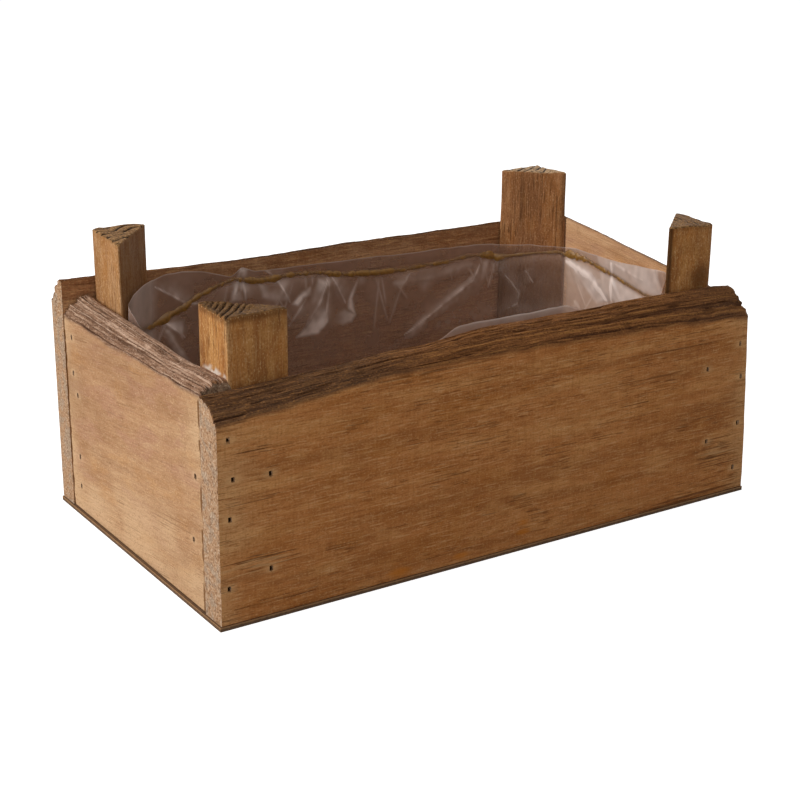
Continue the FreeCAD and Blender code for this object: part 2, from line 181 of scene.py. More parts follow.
# %% The world and the lamps
WORLD_LIGHT = 0.19
LAMPS = {
    # name: place, aim, width and height in metres, watts
    "key_softbox": ((-1.4, 0.3, 0.8), (0.0, 0.0, 0.06), (0.8, 0.8), 18.0),
    "front_fill": ((-0.7, -1.6, 0.9), (0.0, 0.0, 0.05), (1.0, 0.8), 6.0),
    "back_fill": ((1.3, 1.5, 0.9), (0.0, 0.0, 0.05), (1.0, 0.8), 8.0),
    "top_panel": ((0.1, 0.1, 1.5), (0.0, 0.0, 0.05), (0.9, 0.7), 4.0),
}

world = bpy.data.worlds.new("white_studio")
world.use_nodes = True
world.node_tree.nodes.clear()
level = add(
    world.node_tree, "MapRange",
    {"Value": seen_directly(world.node_tree), "To Min": WORLD_LIGHT, "To Max": 1.0},
)
sky = add(world.node_tree, "Background", {"Color": (1, 1, 1, 1), "Strength": level})
add(world.node_tree, "OutputWorld", {"Surface": sky})
scene.world = world

for name, (place, aim, (width, height), watts) in LAMPS.items():
    lamp_data = bpy.data.lights.new(name, "AREA")
    lamp_data.shape = "RECTANGLE"
    lamp_data.size = width
    lamp_data.size_y = height
    lamp_data.energy = watts
    lamp = bpy.data.objects.new(name, lamp_data)
    lamp.location = place
    lamp.rotation_euler = (Vector(aim) - Vector(place)).to_track_quat("-Z", "Y").to_euler()
    scene.collection.objects.link(lamp)
print("lamps:", list(LAMPS))

# %% [markdown]
# ## Tools for surfaces
# Every new piece is a grid of points worked out as whole arrays. Roughness comes
# from value noise: random numbers on a lattice, blended smoothly between its points,
# with a fixed seed so that each run gives the same wood.

# %% Noise
LATTICE = 256


def ease(t):
    """A smooth step: 3t^2 - 2t^3 on t held between 0 and 1."""
    t = np.clip(t, 0.0, 1.0)
    return t * t * (3 - 2 * t)


def noise(x, y, seed):
    """Value noise from -1 to 1: lattice values blended along x and then along y by the smooth step."""
    x, y = np.broadcast_arrays(np.asarray(x, float), np.asarray(y, float))
    values = np.random.default_rng(seed).uniform(-1, 1, (LATTICE, LATTICE))
    column = np.floor(x).astype(int)
    row = np.floor(y).astype(int)
    part_x = ease(x - column)
    part_y = ease(y - row)
    near = values[column % LATTICE, row % LATTICE]
    right = values[(column + 1) % LATTICE, row % LATTICE]
    above = values[column % LATTICE, (row + 1) % LATTICE]
    across = values[(column + 1) % LATTICE, (row + 1) % LATTICE]
    low = near + (right - near) * part_x
    high = above + (across - above) * part_x
    return low + (high - low) * part_y

# %% [markdown]
# A grid becomes a mesh piece that rides on the box and stands for one CAD node. It
# carries its own values for the finish, such as where bark shows. The brads stay as
# the CAD has them, and their heads are found as the points furthest out.

# %% Mesh helpers
SMOOTH_ANGLE = math.radians(38)
# brad heads: how far in from the outermost points, and how far apart at least
HEAD_SLICE = 0.1
HEAD_APART = 4.0


def grid_faces(rows, columns, looped=False):
    """Quads of a grid whose last column joins its first; looped joins the last row to the first too."""
    row, column = np.meshgrid(np.arange(rows - (not looped)), np.arange(columns), indexing="ij")
    above = (row + 1) % rows
    after = (column + 1) % columns
    quads = np.stack([
        row * columns + column,
        row * columns + after,
        above * columns + after,
        above * columns + column,
    ], axis=-1)
    return quads.reshape(-1, 4)


def make_piece(name, points, faces, caps=(), attributes=None, node=None):
    """Puts points in mm and faces into a mesh piece that rides on the box and stands for a CAD node."""
    mesh = bpy.data.meshes.new(name)
    flat = np.asarray(points, float).reshape(-1, 3) * MM
    mesh.from_pydata(flat.tolist(), [], faces.tolist() + [list(cap) for cap in caps])
    for key, values in (attributes or {}).items():
        layer = mesh.attributes.new(key, "FLOAT", "POINT")
        layer.data.foreach_set("value", np.ascontiguousarray(values, np.float32).ravel())
    on_cap = mesh.attributes.new("cap", "FLOAT", "FACE")
    on_cap.data.foreach_set("value", np.repeat(np.float32([0, 1]), [len(faces), len(caps)]))
    mesh.shade_smooth()
    mesh.set_sharp_from_angle(angle=SMOOTH_ANGLE)
    piece = bpy.data.objects.new(name, mesh)
    scene.collection.objects.link(piece)
    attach(piece, "root")
    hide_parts(node)
    size = (flat.max(0) - flat.min(0)) / MM
    print(name, len(flat), "points,", np.round(size, 1), "mm")
    return piece


def node_points(node):
    """The points of a CAD node, in mm."""
    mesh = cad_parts[node].data
    points = np.empty(len(mesh.vertices) * 3)
    mesh.vertices.foreach_get("co", points)
    return points.reshape(-1, 3) / MM


def head_places(node, outward):
    """Centres of the brad heads: the points furthest out, gathered by nearness."""
    points = node_points(node)
    reach = points @ outward
    heads = points[reach > reach.max() - HEAD_SLICE]
    places = []
    while len(heads):
        near = np.linalg.norm(heads - heads[0], axis=1) < HEAD_APART
        places.append((heads[near].min(0) + heads[near].max(0)) / 2)
        heads = heads[~near]
    return np.array(places)

# %% [markdown]
# ## Boards
# Each board is sawn flat on its two faces, and its top edge is the outside of the
# tree: it curves over from the outer face to the crest, with layers of bark that
# break off in ridges along the board. A board is a closed section carried along its
# length. The section is a function of the place along the board: up the outer face,
# over the bark on a power curve with a sawtooth of layers on it, down the inner face
# and back underneath. Sinks round the brads show the heads of the CAD brads.

# %% Sizes of the boards
LINE_STEP = 1.0
FACE_STEP = 1.3
EDGE_EASE = 0.5
FACE_FLOAT = 5.0
FACE_WANDER = 0.5
CREST_WANDER = 0.35
STRETCH_LINES = 5
BARK_COLUMNS = 100
LIP_COLUMNS = 6
RIDGE_HEIGHT = 0.45
INNER_COLUMNS = 14
UNDER_COLUMNS = 5
SINK_HALF = (0.5, 0.8)
SINK_RIM = 0.22
SINK_DEPTH = 1.3
HALO_RADIUS = 2.2
TORN_REACH = 70.0
INNER_NEAR = 0.6
JOINT_FADE = 0.6
JOINT_LINES = (0.25, 0.8, 1.15, 1.6)
# height of the painted shade along the bottom of a board
FOOT_SHADE_HEIGHT = 1.1
END_SINK_SPREAD = 1.5
RAGGED_REACH = 9.0
WORN_EDGE = 11.0
# How far the front board's right end leans in, against height
LEAN_HEIGHTS = (8, 32, 80, 95)
LEAN_AMOUNTS = (0, 1.2, 4.3, 4.6)
LEAN_REACH = 9.0
# Face and crest are heights over the ground, against the place along the board from its own
# start, all in mm. Turn counts quarter turns from the front. The lip is the crest's share of the
# thickness and its fall to the inner face, and bulge is the power of the curve up to it. Worn is
# how much the ends and the bottom are rubbed pale, and how far up from the bottom.
# Layers are the bark's broad steps, their height, thin ridges, how much longer than usual its
# strands are, and how far its two ends are broken back. Char is how charred it is along the
# board. Torn patches, stains and resin have a place, a reach along the board and up it, and an
# amount. Bands are dark lines in the bark: share of the way up it, half width, where they begin
# and over how far. Joints are the widths of the dark lines at the two ends, painted shade in the gaps
# with grime, foot is how much painted shade lies along the bottom, and lean is how much the right end leans
# in.
PLAIN_BOARD = {"lean": 0, "joints": (1.3, 1.3), "resin": ()}
BOARDS = {
    "front_board": {
        "turn": 0, "seed": 11, "layers": (2.2, 0.8, 12, 1.0, (0.2, 2.4)), "bulge": 2.3, "lean": 1,
        "lip": (0.95, 1.2), "worn": (1.0, 0.0, 11),
        "stains": ((200, 62, 60, 5, 0.12), (110, 38, 45, 8, 0.12)),
        "torn": ((16, 24, 36, 9, 1.0), (14, 68, 22, 10, 0.9), (242, 22, 28, 16, 1.0),
                 (246, 62, 16, 12, 0.5)),
        "foot": 0.3,
        "char": ((0, 1), (55, 0.95), (95, 0.3), (150, 0.1), (205, 0.2), (240, 0.5), (260, 0.55)),
        "bands": ((0.3, 0.09, 150, 60), (0.95, 0.04, 120, 80)),
        "resin": ((137, 12.2, 4.16, 1.3, 1), (137, 8, 4.8, 1.5, 1), (106, 4.9, 5.12, 1.6, 1),
                  (77, 5, 7.04, 2.2, 1)),
        "face": ((0, 79.3), (10, 79.8), (21, 80.9), (38, 82.9), (67, 85.8), (100, 86.1),
                 (135, 86.3), (172, 84.6), (211, 83.8), (253, 81.8), (260, 81.5)),
        "crest": ((0, 86.5), (36, 87.9), (54, 88.5), (76, 90.4), (94, 90.2), (121, 93.1),
                  (167, 93.3), (220, 93.7), (246, 93.2), (256, 92.4), (260, 91.6)),
    },
    "right_end_board": {
        "turn": 1, "seed": 23, "layers": (2.4, 0.6, 10, 2.0, (1.0, 1.0)), "bulge": 1.15,
        "lip": (0.96, 0.7), "worn": (0.6, 0.6, 11), "stains": ((60, 50, 40, 12, 0.3),),
        "torn": ((10, 40, 20, 20, 0.8), (115, 60, 20, 20, 0.8)), "foot": 0.5,
        "char": ((0, 0.5), (125, 0.3)), "bands": ((0.04, 0.04, 0, 1), (1.0, 0.05, 0, 1)),
        "face": ((0, 84.5), (62, 91), (125, 99.5)),
        "crest": ((0, 91.5), (30, 95.3), (39, 96.6), (60, 99.2), (82, 102.3), (97, 103.9), (125, 107)),
    },
    "back_board": {
        "turn": 2, "seed": 37, "layers": (2.3, 0.8, 12, 1.2, (1.6, 1.6)), "bulge": 1.9,
        "lip": (0.94, 1.0), "worn": (0.8, 0.0, 11), "stains": ((140, 60, 50, 8, 0.25),),
        "torn": ((14, 30, 30, 14, 1.0), (244, 50, 26, 20, 0.9)), "foot": 0.7,
        "char": ((0, 0.5), (130, 0.7), (260, 0.4)), "bands": ((0.05, 0.05, 0, 1), (1.0, 0.04, 0, 1)),
        "face": ((0, 91), (130, 93), (260, 90)),
        "crest": ((0, 99.5), (90, 99.6), (130, 99.3), (160, 98.6), (182, 98.7), (220, 99.6), (260, 100.7)),
    },
    "left_end_board": {
        "turn": 3, "seed": 41, "layers": (2.6, 1.5, 8, 3.0, (1.0, 2.4)), "bulge": 1.6,
        "lip": (0.77, 3.5), "worn": (0.8, 1.3, 20),
        "stains": ((4, 58, 22, 20, 0.5), (30, 52, 20, 10, 0.3), (40, 80, 60, 14, 0.42)),
        "torn": ((10, 50, 16, 30, 0.6), (115, 40, 12, 30, 0.5)), "foot": 0.1, "joints": (1.3, 2.3),
        "char": ((0, 0.55), (60, 0.3), (125, 0.25)), "bands": ((0.03, 0.03, 0, 1), (0.3, 0.03, 0, 1)),
        "face": ((0, 86.6), (38, 85.7), (84, 86.0), (125, 86.5)),
        "crest": ((0, 93.8), (17, 92.6), (30, 92.3), (52, 91.1), (69, 90.5), (97, 89.6), (106, 90.2),
                  (113, 90.4), (122, 90.9), (125, 90.2)),
    },
}
print("boards:", list(BOARDS))

# %% [markdown]
# A board's place, way and size come from its CAD box, and its brads from their heads.
# The grid lines close up round the brads and near the ends, where small forms need them.

# %% Lines of a board
def board_frame(node, turn):
    """The board's own axes, along it and inward, and its outer start corner, from its box and its turn."""
    low, high = (np.array(corner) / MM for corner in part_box(node))
    along = np.round([math.cos(turn * math.pi / 2), math.sin(turn * math.pi / 2), 0])
    inward = np.array([-along[1], along[0], 0])
    start = np.where(along + inward > 0, low, high)
    span = high - low
    return SimpleNamespace(
        start=start * [1, 1, 0], foot=low[2], along=along, inward=inward,
        length=abs(span @ along), thick=abs(span @ inward),
    )


def lines_with_sinks(low, high, step, centres, half):
    """Grid lines about a step apart, with four more round each brad head."""
    lines = np.linspace(low, high, max(2, round((high - low) / step)))
    if len(centres):
        rims = np.array([-half - SINK_RIM, -half, half, half + SINK_RIM])
        extra = (centres[:, None] + rims).ravel()
        clear = np.abs(lines[:, None] - centres).min(1) > half + 2 * SINK_RIM
        clear[[0, -1]] = True
        lines = np.concatenate([lines[clear], extra])
    return np.unique(np.round(lines[(lines >= low) & (lines <= high)], 3))


def board_lines(node, spec):
    """The board's frame with its brads, its grid lines, which close up round the brads and near the
    ends, and the heights of its outer face and its crest."""
    board = board_frame(node, spec["turn"])
    brads = head_places(node.replace("_board", "_brads"), -board.inward)
    board.brad_s = (brads - board.start) @ board.along
    board.brad_z = brads[:, 2]
    board.fixed_top = min(z for _, z in spec["face"]) - FACE_FLOAT
    s_lines = lines_with_sinks(0, board.length, LINE_STEP, board.brad_s, SINK_HALF[0])
    near_joint = np.array([EDGE_EASE, *JOINT_LINES])
    s_lines = np.sort(np.concatenate([s_lines, near_joint, board.length - near_joint]))
    low_brads = board.brad_z[board.brad_z < board.fixed_top - 2]
    face_low = board.foot + EDGE_EASE
    board.z_lines = lines_with_sinks(face_low, board.fixed_top, FACE_STEP, low_brads, SINK_HALF[1])
    s = s_lines[:, None]
    board.s = s
    board.face = np.interp(s, *zip(*spec["face"])) + FACE_WANDER * noise(s / 9, 0.5, spec["seed"] + 6)
    board.crest = np.interp(s, *zip(*spec["crest"])) + CREST_WANDER * noise(s / 12, 0.5, spec["seed"] + 7)
    return board

# %% [markdown]
# The bark's relief is a sawtooth across its depth: a few broad steps where layers
# broke off, many thin ridges between them, and chips. The same numbers say how deep in
# a groove or chip each point lies, so that the finish can paint shade into it.

# %% Bark and section
def sawtooth(phase, sharpness):
    """0 to 1 over each whole step of the phase, then a drop: a power of the part within the step."""
    part = phase - np.floor(phase)
    return part ** sharpness, np.floor(phase), part


def bark_relief(s, depth, layers, seed):
    """Height of the bark over its smooth curve, painted shade by how deep in a groove or chip it lies,
    and its strands of light and dark: a few broad steps where layers broke off, many thin ridges, and
    chips."""
    steps, step_height, ridges, stretch, _ = layers
    along = s / stretch
    fine = stretch ** -0.4
    wander = 0.22 * noise(along / 90, depth * 2, seed) + 0.05 * noise(along / 22, depth * 6, seed + 1)
    broad, layer, broad_part = sawtooth(steps * depth + wander * fine, 1.4)
    broad = step_height * (0.75 + 0.35 * noise(along / 40, layer * 7.31, seed + 2)) * (broad - 0.4)
    drift = 0.5 * noise(along / 90, depth * 3, seed + 3) + 0.14 * noise(along / 24, depth * 9, seed + 4)
    thin, strand, thin_part = sawtooth(ridges * depth + drift * fine, 1.2)
    thin = RIDGE_HEIGHT * (0.6 + 0.7 * noise(along / 30, strand * 5.17, seed + 5)) * (thin - 0.45)
    fibres = 0.1 * noise(s / 14, depth * 48, seed + 6) + 0.1 * noise(s / 3, depth * 60, seed + 7)
    chips = -0.5 * ease((noise(along / 9, depth * 13, seed + 8) - 0.45) / 0.2)
    open_groove = np.clip(0.55 + 0.8 * noise(along / 20, strand * 3.37, seed + 17), 0, 1)
    # painted shade: dark at the foot of each broad step and thin ridge
    groove = 0.9 * ease((0.13 - broad_part) / 0.13) + 0.7 * open_groove * ease((0.24 - thin_part) / 0.24)
    strands = 0.4 * noise(along / 60, depth * 24 * fine, seed + 12)
    strands = strands + 0.45 * noise(along / 20, depth * 44 * fine, seed + 13)
    strands = strands + 0.4 * noise(s / 5, depth * 58, seed + 14) + 0.25 * (thin_part - 0.5)
    return broad + thin + fibres + chips, groove - chips, 0.5 + 0.5 * strands


def board_section(board, spec):
    """Depth into the board and height of each section: up the face, over the bark and back down."""
    s, face, crest, thick, seed = board.s, board.face, board.crest, board.thick, spec["seed"]

    # outer face: level lines, then a stretch that follows the edge of the bark
    stretch = np.linspace(0, 1, STRETCH_LINES + 2)[1:-1]
    level = np.broadcast_to(board.z_lines, (len(s), len(board.z_lines)))
    face_z = np.concatenate([level, board.fixed_top + (face - board.fixed_top) * stretch], axis=1)
    face_d = 0.1 + 0.1 * noise(s / 26, face_z / 5, seed + 8)

    # bark: a power curve from the outer edge to the crest, moved along its normal
    depth = np.linspace(0, 1, BARK_COLUMNS) ** 1.15
    crest_d = spec["lip"][0] * thick
    rise = 1 - (1 - depth) ** spec["bulge"]
    slope = (crest - face) * spec["bulge"] * (1 - depth) ** (spec["bulge"] - 1) / crest_d
    lean_out = 1 / np.sqrt(1 + slope ** 2)
    relief, groove, strands = bark_relief(s, depth, spec["layers"], seed)
    relief = relief * ease(depth / 0.04) * ease((1 - depth) / 0.05)
    bark_z = face + (crest - face) * rise + relief * lean_out
    bark_d = np.clip(crest_d * depth - relief * slope * lean_out, 0.02, thick)

    # the crest's lip on a quarter turn, the inner face down to the bottom, and back under the board
    over_lip = np.linspace(0, math.pi / 2, LIP_COLUMNS + 1)[1:]
    lip_fall = spec["lip"][1] * (1 + 0.3 * noise(s / 15, 0.5, seed + 18))
    lip_z = crest - lip_fall * (1 - np.cos(over_lip))
    lip_d = crest_d + (thick - crest_d) * np.sin(over_lip) + 0 * s
    drop = np.linspace(0, 1, INNER_COLUMNS + 1)[1:]
    inner_top = crest - lip_fall
    inner_z = inner_top + (board.foot + EDGE_EASE - inner_top) * drop
    inner_d = np.full_like(inner_z, thick)
    back_under = np.linspace(thick - EDGE_EASE, EDGE_EASE, UNDER_COLUMNS)
    under_d = np.broadcast_to(back_under, (len(s), UNDER_COLUMNS))
    under_z = np.full_like(under_d, board.foot)

    board.d = np.concatenate([face_d, bark_d, lip_d, inner_d, under_d], axis=1)
    board.z = np.concatenate([face_z, bark_z, lip_z, inner_z, under_z], axis=1)
    board.on_face = np.arange(board.d.shape[1]) < face_z.shape[1]
    board.over = slice(face_z.shape[1], face_z.shape[1] + BARK_COLUMNS)
    board.depth, board.groove, board.strands, board.over_lip = depth, groove, strands, over_lip


def board_ends(board, spec):
    """Shapes the two ends: the outermost sections draw in a little, the right end may lean in, and
    the bark's layers are broken back unevenly."""
    d, z, s, thick, length = board.d, board.z, board.s, board.thick, board.length
    for row in (0, -1):
        d[row] = thick / 2 + (d[row] - thick / 2) * (1 - 2 * EDGE_EASE / thick)
        up = z[row] - board.foot
        z[row] = z[row] - EDGE_EASE * ease(up / 60) + EDGE_EASE * (up < 1)
    place = np.broadcast_to(s, d.shape).copy()
    near_end = np.clip((place - length + LEAN_REACH) / LEAN_REACH, 0, 1) ** 1.5
    place = place - spec["lean"] * near_end * np.interp(z, LEAN_HEIGHTS, LEAN_AMOUNTS)
    inside_bark = ease(board.depth / 0.12) * ease((1 - board.depth) / 0.12)
    for way, from_end, most in zip((1, -1), (s, length - s), spec["layers"][4]):
        broken = most * inside_bark * (0.5 + 0.5 * noise(board.depth * 15, way, spec["seed"] + 19))
        place[:, board.over] += way * broken * np.clip(1 - from_end / RAGGED_REACH, 0, 1) ** 2
    board.place = place

# %% [markdown]
# The brads pull the face in round their heads. What else a board carries is for its
# finish: where bark shows and how dark it is, painted shade in the brad sinks, the bark's grooves,
# the gaps and along the bottom, and where the faces are torn or stained.

# %% Marks on the boards
def brad_sinks(board, spec):
    """Sinks the face round the brads; gives the painted shade of each sink and a halo of torn fibres round
    it.
    """
    halo = np.zeros_like(board.d)
    sink = np.zeros_like(board.d)
    wide = END_SINK_SPREAD if spec["turn"] % 2 else 1.0
    for centre_s, centre_z in zip(board.brad_s, board.brad_z):
        off_s = np.abs(board.place - centre_s)
        off_z = np.abs(board.z - centre_z)
        inside = (off_s < SINK_HALF[0] + 0.05) & (off_z < SINK_HALF[1] + 0.05) & board.on_face
        board.d = np.where(inside, SINK_DEPTH, board.d)
        off = np.hypot(off_s / (SINK_HALF[0] * wide), off_z / SINK_HALF[1])
        # painted shade in and round each sink
        sink = np.maximum(sink, ease((1.9 - off) / 1.1) * board.on_face)
        spread = np.exp(-((off_s / 1.9) ** 2 + off_z ** 2) / HALO_RADIUS ** 2)
        halo = np.maximum(halo, spread * board.on_face)
    return {"halo": halo, "sink": sink}


def spots(table, across, up, power=1):
    """Soft spots from rows of place, reach and amount: bell curves, of which the strongest counts."""
    total = np.zeros(np.broadcast_shapes(across.shape, up.shape))
    for spot_across, spot_up, reach_across, reach_up, amount in table:
        off = ((across - spot_across) / reach_across) ** 2 + ((up - spot_up) / reach_up) ** 2
        total = np.maximum(total, amount * np.exp(-off ** power))
    return total


def bark_marks(board, spec):
    """Where bark shows over the edge, painted shade in its grooves and chips with its own dark bands, its
    strands, and how charred it is.
    """
    s, z, over, depth, seed = board.s, board.z, board.over, board.depth, spec["seed"]
    edge = board.face + 0.8 * noise(s / 16, z / 0.9, seed + 9) - 0.2
    bark = np.zeros_like(z)
    bark[:, :over.start] = 0.8 * ease((z - edge)[:, :over.start] / 1.6 + 1)
    bark[:, over] = 1
    bark[:, over.stop:over.stop + LIP_COLUMNS] = np.cos(board.over_lip) ** 2
    # painted shade in the bark's grooves and chips, with the bark's own dark bands added to it
    cavity = np.zeros_like(z)
    cavity[:, over] = board.groove
    for middle, width, starts, reach in spec["bands"]:
        band = np.exp(-((depth - middle) / width) ** 2) * ease((s - starts) / reach)
        cavity[:, over] += band * np.clip(0.75 + 0.9 * noise(s / 20, depth * 30, seed + 15), 0, 1)
    strand = np.full_like(z, 0.5)
    strand[:, over] = board.strands
    char = np.broadcast_to(np.interp(s, *zip(*spec["char"])), z.shape)
    return {"bark": bark, "cavity": cavity, "strand": strand, "char": char}


def face_marks(board, spec):
    """Torn grain, painted shade with grime in the joints, painted shade along the bottom, wear, stains and
    resin on the sawn faces.
    """
    s, z, length, seed = board.s, board.z, board.length, spec["seed"]
    is_end_board = spec["turn"] % 2
    from_end = np.minimum(s, length - s)
    torn = 0.4 * ease((TORN_REACH - from_end) / TORN_REACH)
    torn = torn * (0.65 + 0.5 * noise(s / 22, z / 16, seed + 10))
    dots = np.clip(0.6 + 0.9 * noise(s / 3, z / 2.6, seed + 11), 0.3, 1)
    joint_width = np.where(s < length / 2, *spec["joints"])
    inner_face = board.d > board.thick - INNER_NEAR
    # painted shade with grime: a dotted dark line in the gap at each end
    joint = ease((joint_width - from_end) / JOINT_FADE) * dots * (1.0 if is_end_board else inner_face)
    # painted shade along the bottom, where the board sits on the panel
    foot = np.exp(-((z - board.foot) / FOOT_SHADE_HEIGHT) ** 2)
    foot = foot * np.clip(0.7 + 0.8 * noise(s / 16, 0.5, seed + 21), 0, 1)
    worn_end, worn_foot, foot_reach = spec["worn"]
    worn = worn_foot * np.exp(-(z - board.foot) / foot_reach)
    worn = np.maximum(worn_end * np.exp(-from_end / WORN_EDGE), worn)
    return {
        "torn": np.maximum(torn, spots(spec["torn"], s, z)),
        "joint": np.maximum(joint, spec["foot"] * foot * board.on_face),
        "worn": worn * (0.8 + 0.5 * noise(s / 12, z / 12, seed + 16)) * board.on_face,
        "stain": spots(spec["stains"], s, z),
        "resin": spots(spec["resin"], board.place, z),
    }

# %% Waney boards
boards = {}
for node, spec in BOARDS.items():
    spec = {**PLAIN_BOARD, **spec}
    board = board_lines(node, spec)
    board_section(board, spec)
    board_ends(board, spec)
    attributes = {**brad_sinks(board, spec), **bark_marks(board, spec), **face_marks(board, spec)}
    points = board.start + board.place[..., None] * board.along + board.d[..., None] * board.inward
    points[..., 2] = board.z
    rows, columns = board.d.shape
    faces = grid_faces(rows, columns)[:, ::-1]
    ends = [range(columns), range((rows - 1) * columns, rows * columns)[::-1]]
    boards[node] = make_piece(f"waney_{node}", points, faces, ends, attributes, node)

# %% [markdown]
# ## Corner posts
# A post is a square stick split along its diagonal, so its section is a right
# triangle with the two thin edges worn round. The section is carried up to a sawn
# top, which is closed by rings that shrink to the middle. The top's height is a
# function of place: a slope, a little noise and the slits that a coarse saw left.

# %% Sizes of the posts
EDGE_POINTS = 7
SIDE_STEP = 0.8
POST_ROWS = 110
TOP_RINGS = 24
TOP_EASE = 0.5
FRAY_DEPTH = 2.4
WORN_CORNER = 2.0
# points this near to a wall are on the face that lies against it
WALL_NEAR = 1.0
# pale fibres caught between the left board and the post: Y, height, reach in both, amount
FLUFF = ((-52, 90.4, 10.0, 2.2, 1.0),)
# Shift of the section's corner and its legs along X and Y; how far its corners are worn, at
# the wall and at the ends of the two legs; height of the top at the same three places;
# saw slits: depth, pitch, direction, and where they fade; taper to the top; stain on the faces
# to the end board, to the long board and on the split face, which on the back left post is painted
# shade. Spots of stain have X, height, reach in both and amount: on the front posts they are on the
# face to the long board, and on the back posts on the split face. The first spot of the front right
# post is painted shade along its worn corner, and the last spot of the back right post darkens its
# split face low down. Fray and fluff say how much frayed and caught fibres show.
PLAIN_POST = {"shift": (0, 0), "taper": 0.0, "fluff": 0.0}
POSTS = {
    "front_left": {
        "shift": (-1.7, 0), "legs": (25.9, 24.1), "edges": (0.5, 2.4, 3.4), "top": (112.8, 113.9, 114.4),
        "teeth": (1.0, 2.5, -0.8, 8), "stain": (0.0, 0.22, 0.1), "fluff": 1.0, "fray": 1.0, "seed": 51,
        "spots": ((-96, 109, 8, 5, 0.5), (-104, 112, 16, 3, 0.5), (-93, 100, 3, 14, 0.35)),
    },
    "front_right": {
        "legs": (28.4, 26.0), "edges": (6.0, 3.0, 3.4), "top": (120.3, 121.4, 120.9),
        "teeth": (0.3, 3.1, 0.2, 30), "stain": (0.2, 0.0, 0.2), "fray": 0.6, "seed": 53,
        # the first spot is painted shade along the worn corner at the left of the front face
        "spots": ((89.4, 107, 2.2, 60, 1.0), (108, 98, 7, 7, 0.75), (100, 112, 6, 4, 0.3)),
    },
    "back_left": {
        "legs": (26.0, 29.8), "edges": (5.5, 3.4, 2.6), "top": (121.5, 121.2, 119.8),
        # the stain on the split face is painted shade on the face turned from the light
        "teeth": (0.6, 4.3, 1.2, 30), "stain": (0.0, 0.3, 0.58), "fray": 0.45, "seed": 57,
        "spots": ((-112, 117, 3, 4, 0.4),),
    },
    "back_right": {
        "legs": (24.2, 26.0), "edges": (0.5, 3.0, 3.0), "top": (125.9, 125.4, 126.4),
        "teeth": (0.25, 3.7, 2.1, 16), "taper": 0.06, "stain": (0.1, 0.1, 0.1), "fray": 0.4, "seed": 59,
        "spots": ((101, 112, 0.8, 18, 0.6), (115, 110, 1.5, 40, 0.6), (104, 112, 3, 6, 0.3),
                  (94, 116, 2, 8, 0.4), (104, 66, 40, 23, 0.75)),
    },
}
POSTS = {corner: {**PLAIN_POST, **spec} for corner, spec in POSTS.items()}
print("posts:", {corner: spec["legs"] for corner, spec in POSTS.items()})

# %% [markdown]
# The section and the top are functions of their own. The finish needs to know where
# the saw cut, whose slits it darkens with painted shade and stain, where the fibres fray
# under the top, and where stain gathered or shade is painted.

# %% Section and top of a post
def worn_corner(before, corner, after, cut):
    """A corner as a quadratic curve that leaves one side and joins the other, cut mm from the corner."""
    first = corner + (before - corner) / np.linalg.norm(before - corner) * cut
    last = corner + (after - corner) / np.linalg.norm(after - corner) * cut
    t = np.linspace(0, 1, EDGE_POINTS)[:, None]
    return (1 - t) ** 2 * first + 2 * t * (1 - t) * corner + t ** 2 * last


def split_section(wall_corner, sides, spec):
    """The triangle's outline with worn corners and even points along its sides, anticlockwise."""
    reach = np.array(sides) * spec["legs"]
    corners = [wall_corner, wall_corner - [reach[0], 0], wall_corner - [0, reach[1]]]
    cuts = spec["edges"]
    if sides[0] * sides[1] < 0:
        corners = [corners[0], corners[2], corners[1]]
        cuts = [cuts[0], cuts[2], cuts[1]]
    worn = [worn_corner(corners[i - 1], corners[i], corners[(i + 1) % 3], cuts[i]) for i in range(3)]
    outline = []
    for i in range(3):
        gap = worn[(i + 1) % 3][0] - worn[i][-1]
        count = int(np.linalg.norm(gap) / SIDE_STEP)
        t = np.linspace(0, 1, count + 1)[1:-1, None]
        outline += [worn[i], worn[i][-1] + gap * t]
    return np.concatenate(outline)


def sawn_top(x, y, wall_corner, sides, spec):
    """Height of the top: a plane through three corners, noise and narrow saw slits in one direction."""
    depth, pitch, direction, fade = spec["teeth"]
    off_x = (wall_corner[0] - x) * sides[0]
    off_y = (wall_corner[1] - y) * sides[1]
    at_corner, at_x, at_y = spec["top"]
    leg_x, leg_y = spec["legs"]
    plane = at_corner + (at_x - at_corner) * off_x / leg_x + (at_y - at_corner) * off_y / leg_y
    across = off_x * math.cos(direction) + off_y * math.sin(direction)
    line = across / pitch + 0.35 * noise(off_x / 7 + 9, off_y / 7 + 9, spec["seed"])
    off_line = np.abs(line - np.round(line)) * 2
    here = np.clip(0.7 + 0.7 * noise(off_x / 5, off_y / 5, spec["seed"] + 4), 0.1, 1)
    slit = np.clip(1.2 - 2.6 * off_line, 0, 1) * (here * ease((fade - across) / 10))
    uneven = 0.45 * noise(off_x / 8 + 5, off_y / 8 + 5, spec["seed"] + 1)
    uneven = uneven + 0.2 * noise(off_x / 2.2 + 5, off_y / 2.2 + 5, spec["seed"] + 2)
    return plane + uneven - depth * slit, slit

